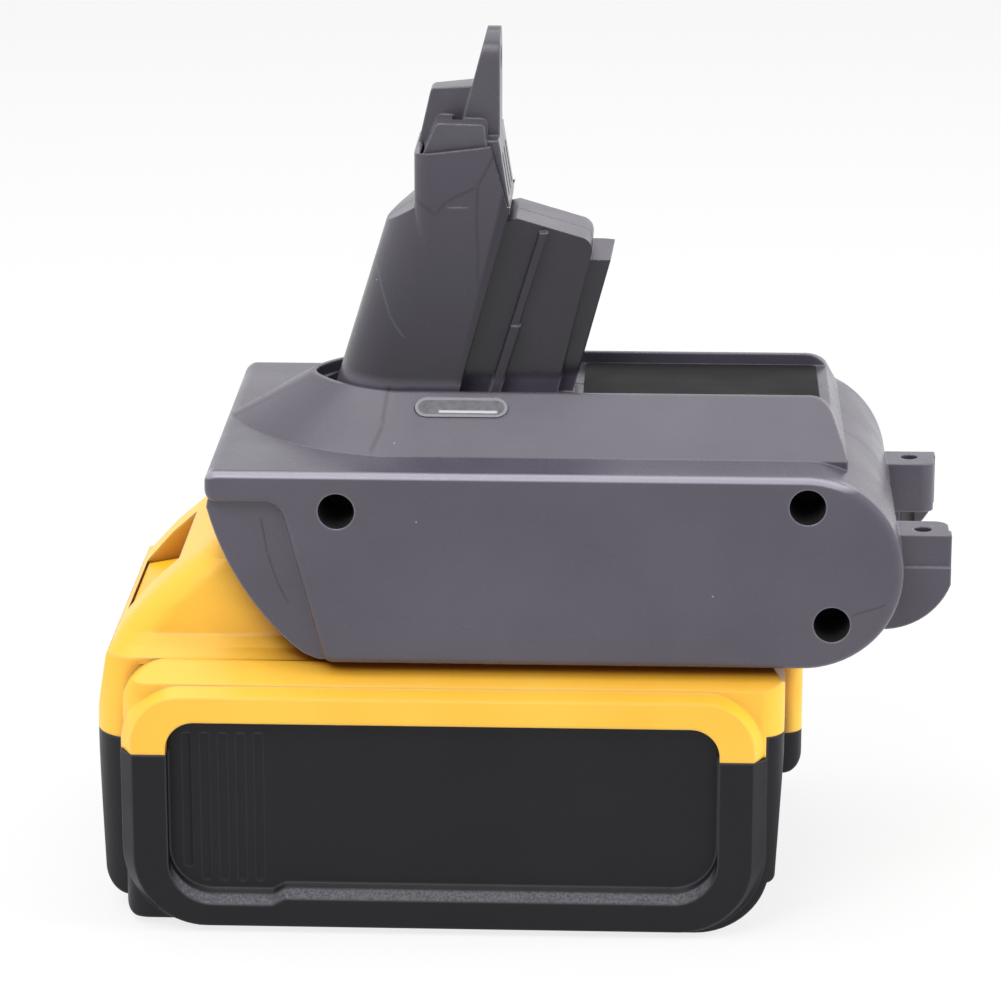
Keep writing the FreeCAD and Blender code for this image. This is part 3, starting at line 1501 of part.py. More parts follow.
def hump_hollow():
    """The room inside the hump: the button's way, the rebate for the spring plate and the tooth's window."""
    wall = D.rail_wall
    slant = D.hump_peak_x + 1.2
    inner = Piece("HumpInner")
    inner.loft("XY", (D.pack_top - D.deck_wall - 1,
                      hump_outline(D.hump_foot_x + 1.6, D.hump_room_right, D.hump_foot_half - wall, D.hump_corner)),
               (D.hump_top - wall,
                hump_outline(slant, D.hump_room_right, D.hump_top_half - wall, D.hump_peak_corner - 2)))
    cheeks = []
    for side, name in ((-1, "Near"), (1, "Far")):
        low = D.button_half + D.button_fit
        first = -(low + D.button_cheek) if side < 0 else low
        cheeks.append(box("Cheek" + name, D.scoop_lip_x - 2, D.scoop_top_x + 4, first, first + D.button_cheek,
                          D.pack_top - D.deck_wall - 1, D.window_top + 3))
    way = Piece("ButtonWay")
    half = D.button_half + D.button_fit
    lip = D.scoop_lip_x - D.button_fit
    deep = D.scoop_lip_z - 1.9 - D.button_travel - 0.5
    way.pad("XZ", -half, half, [at(lip, deep), at(lip, D.window_low), at(lip - 6, D.window_low),
                                at(lip - 6, D.window_top), at(D.tooth_left, D.window_top), at(D.tooth_left, deep)])
    tooth_fit = D.button_fit + 0.1
    way.pad("XY", D.window_top - 1, D.hump_top + 1,
            rectangle(D.tooth_left - tooth_fit, D.tooth_right + tooth_fit, -D.tooth_half - tooth_fit,
                      D.tooth_half + tooth_fit))
    rebate = box("Rebate", D.retainer_left - 0.1, D.retainer_right + 0.1, -D.retainer_half - 0.1, D.retainer_half + 0.1,
                 D.pack_top - D.deck_wall - 1, D.retainer_top)
    return fuse("HumpHollow", cut("HumpRoom", inner, *cheeks), way, rebate)


def rail_hollow():
    """The room in the rails for the pack's board and terminals."""
    wall = D.rail_wall
    return box("RailHollow", D.rail_room_left, D.rail_right - wall, -D.rail_bore_half, D.rail_bore_half,
               D.pack_top - D.deck_wall - 1, D.rail_top - wall)


def release_button():
    """The scoop for the finger, its arm, and the latch tooth at the end of it, all in one piece."""
    button = Piece("Button")
    half = D.button_half
    button.pad("XZ", -half, half, [
        at(D.scoop_lip_x, D.scoop_lip_z), at(D.scoop_back_x, D.scoop_back_z, 1.6), at(D.scoop_top_x, D.arm_top),
        at(D.tooth_right, D.arm_top), at(D.tooth_right, D.arm_low), at(D.scoop_back_x + 3.4, D.arm_low),
        at(D.scoop_back_x + 2.4, D.scoop_back_z - 1.8, 2.0), at(D.scoop_lip_x, D.scoop_lip_z - 1.8),
    ])
    tooth = D.tooth_half
    ramp = 2.4
    button.pad("XZ", -tooth, tooth, [
        at(D.tooth_left, D.arm_top - 1), at(D.tooth_right, D.arm_top - 1), at(D.tooth_right, D.tooth_top - ramp),
        at(D.tooth_right - ramp, D.tooth_top), at(D.tooth_left, D.tooth_top),
    ])
    node("release_button", button)


def release_spring():
    """The coil spring between the spring plate and the button's arm, wound from square wire."""
    coil = Piece("Spring")
    wire = D.spring_wire_radius
    middle = D.spring_radius
    ring = coil.sketch("XZ", size(0), [rectangle(middle - wire, middle + wire, -wire, wire)])
    turns = coil.body.newObject("PartDesign::AdditiveHelix", "SpringCoil")
    turns.Profile = ring
    turns.ReferenceAxis = ([f for f in coil.body.Origin.OriginFeatures if f.Role == "Z_Axis"][0], [""])
    turns.Mode = "height-turns-angle"
    turns.Height = bind(turns, "Height", D.arm_low - D.retainer_top - wire * 2 - 0.1)
    turns.Turns = SIZES["spring_turns"]
    put(coil.body, D.spring_x, 0, D.retainer_top + wire + 0.05)
    node("release_spring", coil)


def spring_plate():
    """The plate under the hump that the spring stands on, with a peg inside the coil."""
    plate = box("PlateForm", D.retainer_left, D.retainer_right, -D.retainer_half, D.retainer_half, D.holder_top,
                D.retainer_top)
    peg = rod("Peg", "Z", D.spring_radius - D.spring_wire_radius - 0.3, 1.8, D.spring_x, 0, D.retainer_top - 0.5)
    node("spring_plate", fuse("SpringPlate", plate, peg))


# Pack: cells and electronics

def cell_places():
    return [(D.cell_first_x + D.cell_pitch * column, D.cell_low_z + D.cell_row_pitch * row)
            for column in range(5) for row in range(2)]


def cells():
    """Ten cells in two rows, lying across the pack."""
    half = D.cell_half
    tubes = [rod("Cell%d" % index, "Y", D.cell_radius, half * 2, x, -half, z)
             for index, (x, z) in enumerate(cell_places())]
    node("cells", group("Cells", tubes))


def cell_holders():
    """The two frames that hold the cells' ends."""
    for name, side in (("near", -1), ("far", 1)):
        outer = D.cell_half
        first = -outer if side < 0 else outer - D.holder_depth
        frame = Piece("Frame" + name)
        radius = D.cell_radius + D.cell_fit * 2
        right = D.cell_last_x + radius
        frame.pad("XZ", first, first + D.holder_depth,
                  [at(D.holder_left, D.deck_wall + 0.1)] + corner_arc(D.cell_last_x, D.cell_low_z, radius)
                  + [at(right, D.holder_top), at(D.holder_left, D.holder_top)])
        bores = [rod("Cup%s%d" % (name, index), "Y", D.cell_radius + D.cell_fit, D.holder_depth, x, first, z)
                 for index, (x, z) in enumerate(cell_places())]
        x, y = pack_screw_places()[0 if side < 0 else 1]
        bores.append(rod("Relief" + name, "Z", D.pack_boss_radius + 0.2, D.holder_top, x, y, 0))
        node("cell_holder_" + name, cut("Holder" + name, frame, *bores))


def nickel_strips():
    """The strips that join the cells: five pairs in series, and a tab at each end of the row."""
    strips = []
    outer = D.cell_half
    half = D.strip_width / 2
    rows = D.cell_row_pitch
    for index, (side, first, last) in enumerate(((-1, 0, 0), (-1, 1, 2), (-1, 3, 4), (1, 0, 1), (1, 2, 3), (1, 4, 4))):
        y = -outer - D.strip_thick if side < 0 else outer
        x_low = D.cell_first_x + D.cell_pitch * first - half
        x_high = D.cell_first_x + D.cell_pitch * last + half
        plate = box("Strip%d" % index, x_low, x_high, y, y + D.strip_thick, D.cell_low_z - half,
                    D.cell_low_z + rows + half)
        strips.append(plate)
    low = D.cell_low_z + rows
    high = D.holder_top + D.strip_thick
    last_x = D.cell_last_x
    far = Piece("FarTab")
    far.pad("YZ", last_x - half, last_x + half, [
        at(outer, low), at(outer + D.strip_thick, low), at(outer + D.strip_thick, high), at(D.tab_end, high),
        at(D.tab_end, D.holder_top), at(outer, D.holder_top)])
    near = Piece("NearTab")
    first_x = D.cell_first_x
    end_x = D.rail_room_left + D.strip_width
    band = D.strip_width * 0.66
    near.pad("XY", D.holder_top, high, [
        at(first_x - half, -outer - D.strip_thick), at(end_x, -outer - D.strip_thick), at(end_x, -D.tab_end),
        at(end_x - half, -D.tab_end), at(end_x - half, -outer + band), at(first_x - half, -outer + band)])
    near.pad("XZ", -outer - D.strip_thick, -outer, rectangle(first_x - half, first_x + half, low, high))
    strips[5] = fuse("FarEnd", strips[5], far)
    strips[0] = fuse("NearEnd", strips[0], near)
    node("nickel_strips", group("NickelStrips", strips))


def pack_electronics():
    """The pack's board under the rails, and the block with the terminal clips on it."""
    low = D.holder_top + D.strip_thick
    top = low + D.board_thick
    left = D.rail_room_left + D.board_fit
    right = D.rail_right - D.rail_wall - D.board_fit
    half = D.rail_bore_half - D.board_fit
    node("pack_board", box("PackBoard", left, right, -half, half, low, top))
    ceiling = D.rail_top - D.rail_wall
    form = box("TerminalForm", D.terminal_left, right, -D.terminal_half, D.terminal_half, top, ceiling)
    slots = []
    clips = []
    for index, y in enumerate(blade_places()):
        room = D.terminal_slot / 2
        slots.append(box("TerminalSlot%d" % index, D.terminal_slot_left, right + 1, y - room, y + room,
                         top, D.blade_high + 1))
        clip = Piece("Clip%d" % index)
        near = D.blade_thick / 2 + D.clip_fit
        outer = near + D.clip_thick
        base = D.blade_low - 0.6
        clip.pad("YZ", D.terminal_slot_left + 1, right - 2, [
            at(y - outer, base - D.clip_thick), at(y + outer, base - D.clip_thick), at(y + outer, D.blade_high),
            at(y + near, D.blade_high), at(y + near, base), at(y - near, base), at(y - near, D.blade_high),
            at(y - outer, D.blade_high)])
        clip.pad("XY", top, base, rectangle(D.terminal_slot_left + 3, right - 5, y - 0.5, y + 0.5))
        clips.append(clip)
    node("terminal_block", cut("TerminalBlock", form, *slots))
    node("terminal_clips", group("TerminalClips", clips))
    chips = []
    half_chip = D.chip_side / 2
    for index, (step, side) in enumerate(((0, -1), (0, 1), (1, -1), (1, 1), (2, 0))):
        x = D.chip_first_x + D.chip_pitch * step
        y = D.chip_y * side
        chips.append(box("Chip%d" % index, x - half_chip, x + half_chip, y - half_chip, y + half_chip,
                         top, top + D.chip_height))
    node("pack_chips", group("PackChips", chips))


def charge_gauge():
    """The charge gauge at the release end: board, lamps, switch, window and button."""
    z = D.gauge_z
    y = D.gauge_window_y
    inner = D.pack_left + D.housing_wall + 0.7
    half = D.gauge_window_length / 2 - 0.1
    tall = D.gauge_window_height / 2 - 0.1
    window = Piece("Window")
    face = D.pack_left + D.pack_draft
    window.pad("YZ", face, inner + 0.5, rectangle(y - half, y + half, z - tall, z + tall, 1.4))
    window.pad("YZ", inner, inner + 1, rectangle(y - half - 1, y + half + 1, z - tall - 1, z + tall + 1, 1.4))
    node("gauge_window", window)
    board_x = inner + 3.6
    edge = D.gauge_board_half
    floor = D.deck_wall + 2
    board = box("GaugeBoard", board_x, board_x + D.board_thick, -edge, edge, floor, D.gauge_board_top)
    node("gauge_board", board)
    lamps = [box("GaugeLamp%d" % index, board_x - 1, board_x, y - 6.8 + 4 * index, y - 5.2 + 4 * index, z - 0.8, z + 0.8)
             for index in range(4)]
    node("gauge_leds", group("GaugeLamps", lamps))
    button_y = D.gauge_button_y
    case = box("SwitchCase", board_x - 1.4, board_x, button_y - 2, button_y + 2, z - 2, z + 2)
    node("gauge_switch", case)
    radius = D.gauge_button_radius
    button = Piece("GaugeButton")
    button.pad("YZ", face - 0.5, inner + 0.6, Disc(button_y, z, radius))
    button.pad("YZ", inner + 0.05, inner + 0.9, Disc(button_y, z, radius + 0.9))
    button.pad("YZ", inner + 0.5, board_x - 1.4 - D.gauge_travel_room, Disc(button_y, z, 1.2))
    node("gauge_button", button)


def pack_screws():
    """Four screws that hold the tub to the cover, driven from below."""
    screws = []
    for index, (x, y) in enumerate(pack_screw_places()):
        seat = D.pack_screw_seat
        head = rod("PackHead%d" % index, "Z", D.pack_head_radius, D.pack_head_height, x, y, seat - D.pack_head_height)
        shank = rod("PackShank%d" % index, "Z", D.pack_screw_radius, D.pack_screw_length, x, y, seat)
        screws.append(fuse("PackScrew%d" % index, head, shank))
    node("pack_screws", group("PackScrews", screws))


def check_and_write():
    """Stops on a failed feature or a bad shape, and then writes one file for each sub-part."""
    DOC.recompute()
    for thing in DOC.Objects:
        if "Invalid" in thing.State or "Error" in thing.State:
            raise RuntimeError("%s failed: %s" % (thing.Name, thing.State))
    os.makedirs("parts", exist_ok=True)
    for name, thing in NODES.items():
        shape = thing.Shape
        if shape.isNull() or not shape.isValid() or not shape.Solids:
            raise RuntimeError("%s has no valid solid" % name)
        print("%-22s solids %2d  volume %10.1f  %s" % (name, len(shape.Solids), shape.Volume, shape.BoundBox))
        shape.exportStep("parts/%s.step" % name)


fill_sheet()
adapter_housing()
housing_screws()
terminal_carrier()
vacuum_contacts()
adapter_light()
adapter_electronics()
adapter_blades()
label_plate()
pack_lower_housing()
pack_upper_housing()
release_button()
release_spring()
spring_plate()
cells()
cell_holders()
nickel_strips()
pack_electronics()
charge_gauge()
pack_screws()
check_and_write()
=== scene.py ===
import math

import bpy
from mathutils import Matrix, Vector

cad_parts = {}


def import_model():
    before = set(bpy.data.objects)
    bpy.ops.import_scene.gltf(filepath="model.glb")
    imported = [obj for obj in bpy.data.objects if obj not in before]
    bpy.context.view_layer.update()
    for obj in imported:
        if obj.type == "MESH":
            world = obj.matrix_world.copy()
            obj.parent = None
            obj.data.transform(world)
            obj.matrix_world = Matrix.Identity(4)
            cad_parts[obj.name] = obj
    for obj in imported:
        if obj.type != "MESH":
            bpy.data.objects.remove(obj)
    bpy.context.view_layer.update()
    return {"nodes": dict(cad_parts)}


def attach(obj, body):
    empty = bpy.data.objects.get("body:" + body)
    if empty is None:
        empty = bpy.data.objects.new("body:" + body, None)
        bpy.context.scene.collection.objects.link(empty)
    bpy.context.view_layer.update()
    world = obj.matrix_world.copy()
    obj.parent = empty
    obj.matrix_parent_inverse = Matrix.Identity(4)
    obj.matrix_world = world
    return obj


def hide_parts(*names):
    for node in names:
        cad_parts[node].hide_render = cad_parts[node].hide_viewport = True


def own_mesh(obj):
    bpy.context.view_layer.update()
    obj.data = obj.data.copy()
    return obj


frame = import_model()
nodes = frame["nodes"]
scene = bpy.context.scene


# Colours are written in sRGB, as they look, and turned into the linear values that the shaders take.
# Places on the solids are written in millimetres, with MM, and turned into metres.

MM = 0.001


def linear(channel):
    if channel <= 0.04045:
        return channel / 12.92
    return ((channel + 0.055) / 1.055) ** 2.4


def colour(red, green, blue):
    return tuple(linear(c / 255) for c in (red, green, blue)) + (1.0,)


class Surface:
    """A material whose shader is built up from a few node helpers. Its places are in metres."""

    def __init__(self, name, base, roughness, specular=0.5, metallic=0.0):
        self.material = bpy.data.materials.new(name)
        self.material.use_nodes = True
        self.tree = self.material.node_tree
        self.shader = self.tree.nodes["Principled BSDF"]
        self.shader.inputs["Base Color"].default_value = base
        self.shader.inputs["Roughness"].default_value = roughness
        self.shader.inputs["Specular IOR Level"].default_value = specular
        self.shader.inputs["Metallic"].default_value = metallic
        coordinates = self.tree.nodes.new("ShaderNodeTexCoord")
        self.place = coordinates.outputs["Object"]
        self.facing = coordinates.outputs["Normal"]

    def add(self, kind, **settings):
        node = self.tree.nodes.new("ShaderNode" + kind)
        for name, value in settings.items():
            setattr(node, name, value)
        return node

    def feed(self, socket, value):
        if isinstance(value, bpy.types.NodeSocket):
            self.tree.links.new(value, socket)
        else:
            socket.default_value = value

    def maths(self, operation, first, second=0.0):
        node = self.add("Math", operation=operation)
        self.feed(node.inputs[0], first)
        self.feed(node.inputs[1], second)
        return node.outputs[0]

    def size(self, value):
        return self.maths("ABSOLUTE", value)

    def times(self, *values):
        total = values[0]
        for value in values[1:]:
            total = self.maths("MULTIPLY", total, value)
        return total

    def axis(self, letter, of=None):
        node = self.add("SeparateXYZ")
        self.feed(node.inputs[0], of or self.place)
        return node.outputs[letter]

    def along(self, direction, of=None):
        node = self.add("VectorMath", operation="DOT_PRODUCT")
        self.feed(node.inputs[0], of or self.place)
        self.feed(node.inputs[1], direction)
        return node.outputs["Value"]

    def stretched(self, factors):
        node = self.add("VectorMath", operation="MULTIPLY")
        self.feed(node.inputs[0], self.place)
        self.feed(node.inputs[1], factors)
        return node.outputs[0]

    def noise(self, scale, detail=2.0, roughness=0.5, place=None):
        node = self.add("TexNoise")
        self.feed(node.inputs["Scale"], scale)
        self.feed(node.inputs["Detail"], detail)
        self.feed(node.inputs["Roughness"], roughness)
        self.feed(node.inputs["Vector"], place or self.place)
        return node.outputs["Fac"]

    def span(self, value, low, high, to_low=0.0, to_high=1.0):
        node = self.add("MapRange")
        ends = {"From Min": low, "From Max": high, "To Min": to_low, "To Max": to_high}
        for name, number in ends.items():
            self.feed(node.inputs[name], number)
        self.feed(node.inputs["Value"], value)
        return node.outputs["Result"]

    def window(self, value, low, high, soft):
        rise = self.span(value, low - soft, low + soft)
        fall = self.span(value, high - soft, high + soft, 1.0, 0.0)
        return self.times(rise, fall)

    def any(self, *masks):
        total = masks[0]
        for mask in masks[1:]:
            total = self.maths("MAXIMUM", total, mask)
        return total

    def mix(self, amount, first, second):
        node = self.add("Mix", data_type="RGBA")
        self.feed(node.inputs["Factor"], amount)
        self.feed(node.inputs["A"], first)
        self.feed(node.inputs["B"], second)
        return node.outputs["Result"]

    def bump(self, height, distance, strength=1.0, below=None):
        node = self.add("Bump")
        self.feed(node.inputs["Strength"], strength)
        self.feed(node.inputs["Distance"], distance)
        self.feed(node.inputs["Height"], height)
        if below is not None:
            self.feed(node.inputs["Normal"], below)
        return node.outputs["Normal"]

    def round_way(self, x, z, radius):
        """1 inside a round way that runs along Y."""
        node = self.add("VectorMath", operation="DISTANCE")
        self.feed(node.inputs[0], self.stretched((1, 0, 1)))
        self.feed(node.inputs[1], (x * MM, 0, z * MM))
        return self.span(node.outputs["Value"], radius * MM, (radius - 0.05) * MM)

    def rounded(self, radius):
        node = self.add("Bevel", samples=6)
        self.feed(node.inputs["Radius"], radius)
        return node.outputs["Normal"]

    def edges(self, rounded):
        """Where the rounded normal leans away from the face: 1 on an edge, 0 on a flat."""
        flat = self.add("NewGeometry")
        return self.span(self.along(flat.outputs["Normal"], rounded), 0.985, 0.85)

    def crevice_shade(self, reach):
        """How closely other surfaces stand over this one, from 0 in the open to 1 in a narrow gap; colour
        tinted by it is painted shade.
        """
        node = self.add("AmbientOcclusion", samples=8)
        self.feed(node.inputs["Distance"], reach)
        return self.span(node.outputs["AO"], 0.85, 0.35)

    def specks(self, scale, size, share):
        """Sparse dust: a small dot in some of the cells."""
        node = self.add("TexVoronoi")
        self.feed(node.inputs["Scale"], scale)
        self.feed(node.inputs["Vector"], self.place)
        dot = self.span(node.outputs["Distance"], size, size * 0.5)
        chosen = self.maths("GREATER_THAN", self.axis("X", node.outputs["Color"]), 1 - share)
        return self.times(dot, chosen)

    def trace(self, points, width, wobble=0.4 * MM, end=0.4 * MM):
        """A thin wavering line over the surface, seen from the side, through points (x, z) in millimetres."""
        stir = self.span(self.noise(140, 1.0), 0.0, 1.0, -wobble, wobble)
        lines = []
        for (x0, z0), (x1, z1) in zip(points, points[1:]):
            length = math.hypot(x1 - x0, z1 - z0)
            run = ((x1 - x0) / length, (z1 - z0) / length)
            far = self.along((run[0], 0, run[1]))
            side = self.maths("ADD", self.along((-run[1], 0, run[0])), stir)
            start = (x0 * run[0] + z0 * run[1]) * MM
            offset = (-x0 * run[1] + z0 * run[0]) * MM
            within = self.window(far, start, start + length * MM, end)
            away = self.size(self.maths("SUBTRACT", side, offset))
            lines.append(self.times(within, self.span(away, width, 0.0)))
        return self.any(*lines)

    def finish(self, base=None, roughness=None, normal=None):
        for name, value in (("Base Color", base), ("Roughness", roughness), ("Normal", normal)):
            if value is not None:
                self.feed(self.shader.inputs[name], value)
        return self.material


class Moulded(Surface):
    """Injection-moulded plastic: slight cloudiness, a fine grain, and an edge mask for a painted highlight.
    """

    def __init__(self, name, base, deep, roughness, specular=0.5, radius=0.5 * MM):
        super().__init__(name, base, roughness, specular)
        cloud = self.noise(38, 3.0, 0.6)
        self.tone = self.mix(self.span(cloud, 0.35, 0.65), deep, base)
        self.rough = self.span(self.noise(120), 0.3, 0.7, roughness - 0.05, roughness + 0.05)
        self.soft = self.rounded(radius)
        self.edge = self.edges(self.soft)

    def tint(self, mask, shade, strength=1.0):
        self.tone = self.mix(self.times(mask, strength), self.tone, shade)

    def made(self, grain=2600, depth=0.02 * MM, strength=0.6):
        relief = self.bump(self.noise(grain, 1.0), depth, strength, self.soft)
        return self.finish(self.tone, self.rough, relief)


# The adapter's screw bores and side plates, the post's lean, and the light guide

SCREWS = ((-27.95, 68.8), (45.15, 70.3), (49.25, 51.3))
SCREW_BORE = 3.0
PLATE_FACE = 33.9
POST_FOOT = 83.0
POST_NECK = 120.0
ACROSS_POST = (0.972, 0, -0.235)
LENS_MIDDLE = (-9.3, -16.2, 80.82)
LENS_HALF_LENGTH = 7.35
LENS_ROUND = 1.95
UP_THE_SLOPE = (0, 0.815, 0.579)
WELD_LINES = (
    (0.55, ((-21.2, 82.9), (-21.6, 78.7), (-23.3, 75.4))),
    (0.40, ((-16.9, 113.2), (-13.5, 110.7), (-12.0, 112.9), (-7.3, 115.1))),
    (0.40, ((-4.6, 120.4), (-7.0, 115.4), (-7.1, 111.4), (-7.0, 103.5), (-6.5, 98.0))),
    (0.25, ((-39.9, 66.9), (-39.0, 61.2), (-37.5, 56.3), (-35.7, 53.0))),
    (0.20, ((52.4, 52.9), (57.4, 54.7))))
# A weld line on the post that is painted lighter, as a highlight along it.
HIGHLIT_WELD_LINE = ((-23.5, 101.4), (-21.0, 94.2), (-18.6, 91.0))


def adapter_grey():
    """Glossy warm grey with weld lines and dust specks; painted highlights on its edges, along the side
    plates' top edges and on one weld line, and painted shade on the post, the block behind it and in the
    screw bores.
    """
    surface = Moulded("adapter_grey", colour(82, 78, 90), colour(76, 72, 84), 0.27)
    height = surface.axis("Z")
    outward = surface.size(surface.axis("Y"))
    upward = surface.axis("Z", surface.facing)
    # Painted highlight: the edges are tinted lighter.
    surface.tint(surface.edge, colour(150, 146, 160), 0.7)

    # Painted highlight: a lighter strip along each side plate's top edge, on the faces turned partly upward.
    plate = surface.span(outward, 31.0 * MM, 31.8 * MM)
    high = surface.span(height, 72.5 * MM, 73.5 * MM)
    top_edge_highlight = surface.times(plate, high, surface.window(upward, 0.35, 0.90, 0.08))
    surface.tint(top_edge_highlight, colour(176, 172, 186), 0.6)

    # Painted shade: the post's side faces are darkened, most at the foot and less towards the neck; faces
    # turned upward are left out.
    post = surface.times(surface.span(height, (POST_FOOT + 0.2) * MM, (POST_FOOT + 1.5) * MM),
                         surface.span(outward, 15.0 * MM, 14.0 * MM), surface.span(upward, 0.7, 0.4))
    rising = surface.span(height, POST_FOOT * MM, POST_NECK * MM)
    surface.tint(post, surface.mix(rising, colour(40, 37, 46), colour(68, 64, 76)))
    # Painted shade: the block behind the post is darkened further.
    block_shade = surface.span(surface.along(ACROSS_POST), -30.0 * MM, -29.5 * MM)
    surface.tint(surface.times(post, block_shade), colour(36, 32, 42), 0.9)

    welds = [surface.trace(points, width * MM) for width, points in WELD_LINES]
    surface.tint(surface.any(*welds), colour(44, 41, 49), 0.75)
    # Painted highlight: a lighter trace along a weld line on the post.
    surface.tint(surface.trace(HIGHLIT_WELD_LINE, 0.30 * MM), colour(104, 100, 110), 0.3)
    surface.tint(surface.specks(260, 0.045, 0.10), colour(196, 194, 200), 0.6)

    # Painted shade: inside the screw bores, past the side plate's face, the colour is near black; the
    # roughness is raised there too.
    ways = [surface.round_way(x, z, SCREW_BORE) for x, z in SCREWS]
    bore = surface.times(surface.any(*ways), surface.span(outward, PLATE_FACE * MM, (PLATE_FACE - 0.1) * MM))
    surface.tint(bore, colour(8, 8, 9))
    surface.rough = surface.maths("MAXIMUM", surface.rough, surface.times(bore, 0.95))
    return surface.made()


def carrier_grey():
    """The adapter's grey, a little darker and mottled."""
    surface = Moulded("carrier_grey", colour(78, 75, 84), colour(70, 67, 76), 0.25)
    # Painted highlight: the edges are tinted lighter.
    surface.tint(surface.edge, colour(150, 147, 158), 0.5)
    under = surface.span(surface.noise(600, 2.0), 0.45, 0.7)
    surface.tint(under, colour(70, 67, 75), 0.35)
    surface.tint(surface.specks(330, 0.05, 0.12), colour(190, 188, 194), 0.6)
    return surface.made()


def pack_yellow():
    """Warm yellow with a few dust marks, a painted highlight on its edges, and painted shade that turns it
    deep orange in gaps and hollows.
    """
    surface = Moulded("pack_yellow", colour(255, 198, 66), colour(254, 190, 54), 0.36, 0.45, 0.8 * MM)
    # Painted highlight: the edges are tinted lighter.
    surface.tint(surface.edge, colour(255, 216, 118), 0.5)
    # Painted shade: deep orange where other surfaces stand close over the yellow, as under the adapter.
    surface.tint(surface.crevice_shade(11 * MM), colour(110, 44, 4), 0.95)
    surface.tint(surface.specks(150, 0.03, 0.10), colour(120, 84, 40), 0.7)
    return surface.made(2200)


def button_yellow():
    """The cover's yellow, a shade warmer."""
    surface = Moulded("button_yellow", colour(255, 196, 40), colour(252, 188, 32), 0.34, 0.45)
    # Painted highlight: the edges are tinted lighter.
    surface.tint(surface.edge, colour(255, 220, 110), 0.5)
    return surface.made(2200)


def pack_black():
    """Black with a spark-eroded grain, which is coarse and grey on the panel's ledge."""
    surface = Moulded("pack_black", colour(18, 17, 23), colour(14, 13, 19), 0.42, 0.28, 0.6 * MM)
    # Painted highlight: the edges are tinted lighter.
    surface.tint(surface.edge, colour(86, 85, 90), 0.55)
    outward = surface.size(surface.axis("Y"))
    upward = surface.span(surface.axis("Z", surface.facing), 0.2, 0.6)
    low = surface.span(surface.axis("Z"), 16 * MM, 12 * MM)
    ledge = surface.times(upward, low, surface.window(outward, 36.4 * MM, 37.9 * MM, 0.2 * MM))
    grains = surface.span(surface.noise(2400, 3.0, 0.7), 0.35, 0.65)
    surface.tint(ledge, surface.mix(grains, colour(64, 63, 69), colour(104, 103, 110)))
    surface.tint(surface.specks(170, 0.022, 0.16), colour(190, 190, 194), 0.8)
    coarse = surface.bump(surface.noise(1300, 2.0), 0.06 * MM, 0.5, surface.soft)
    return surface.finish(surface.tone, surface.rough, coarse)


def bare_label():
    """The plate has no print: a matt film over a dark plate, with faint scuffs."""
    surface = Moulded("label_black", colour(24, 24, 26), colour(20, 20, 22), 0.62, 0.12, 0.2 * MM)
    scuffs = surface.span(surface.noise(420, 4.0, 0.75), 0.6, 0.75)
    surface.tint(scuffs, colour(38, 38, 41), 0.5)
    # Painted highlight: the edges are tinted lighter.
    surface.tint(surface.edge, colour(88, 88, 92), 0.6)
    return surface.made(900, 0.01 * MM)


def clear_lens():
    """A clear stadium: bright rim, darker middle, and a light bar low in it."""
    surface = Surface("lens_clear", colour(214, 214, 222), 0.12)
    surface.shader.inputs["Transmission Weight"].default_value = 0.35
    surface.shader.inputs["IOR"].default_value = 1.49
    x, y, z = LENS_MIDDLE
    along = surface.axis("X")
    off_middle = surface.size(surface.maths("SUBTRACT", along, x * MM))
    past_straight = surface.maths("SUBTRACT", off_middle, (LENS_HALF_LENGTH - LENS_ROUND) * MM)
    reach = surface.maths("MAXIMUM", past_straight, 0.0)
    middle_rise = (UP_THE_SLOPE[1] * y + UP_THE_SLOPE[2] * z) * MM
    rise = surface.maths("SUBTRACT", surface.along(UP_THE_SLOPE), middle_rise)
    squares = surface.maths("ADD", surface.times(reach, reach), surface.times(rise, rise))
    away = surface.maths("SQRT", squares)

    rim = surface.window(away, 1.50 * MM, 1.80 * MM, 0.08 * MM)
    inside = surface.span(away, 1.50 * MM, 1.40 * MM)
    cloudy = surface.span(surface.noise(900, 3.0, 0.7), 0.3, 0.7)
    body = surface.mix(cloudy, colour(62, 60, 68), colour(112, 110, 120))
    bar = surface.times(surface.window(along, -12.8 * MM, -3.6 * MM, 0.1 * MM),
                        surface.window(rise, -1.15 * MM, -0.65 * MM, 0.08 * MM))
    tone = surface.mix(inside, colour(150, 147, 158), body)
    tone = surface.mix(bar, tone, colour(222, 222, 230))
    tone = surface.mix(rim, tone, colour(146, 144, 154))
    return surface.finish(tone, surface.span(cloudy, 0, 1, 0.08, 0.2))


def plain(name, base, deep, roughness, specular=0.5, grain=1800):
    surface = Surface(name, base, roughness, specular)
    tone = surface.mix(surface.span(surface.noise(90, 3.0, 0.6), 0.35, 0.65), deep, base)
    return surface.finish(tone, None, surface.bump(surface.noise(grain, 1.0), 0.02 * MM, 0.5))


def metal(name, base, deep, roughness, stretch=(1, 1, 12)):
    """Drawn or rolled metal: brushed one way, with a duller film in places."""
    surface = Surface(name, base, roughness, 0.5, 1.0)
    brushed = surface.noise(700, 2.0, 0.6, surface.stretched(stretch))
    film = surface.span(surface.noise(160, 3.0, 0.6), 0.4, 0.7)
    tone = surface.mix(film, base, deep)
    rough = surface.span(brushed, 0.3, 0.7, roughness - 0.06, roughness + 0.08)
    return surface.finish(tone, rough, surface.bump(brushed, 0.01 * MM, 0.4))


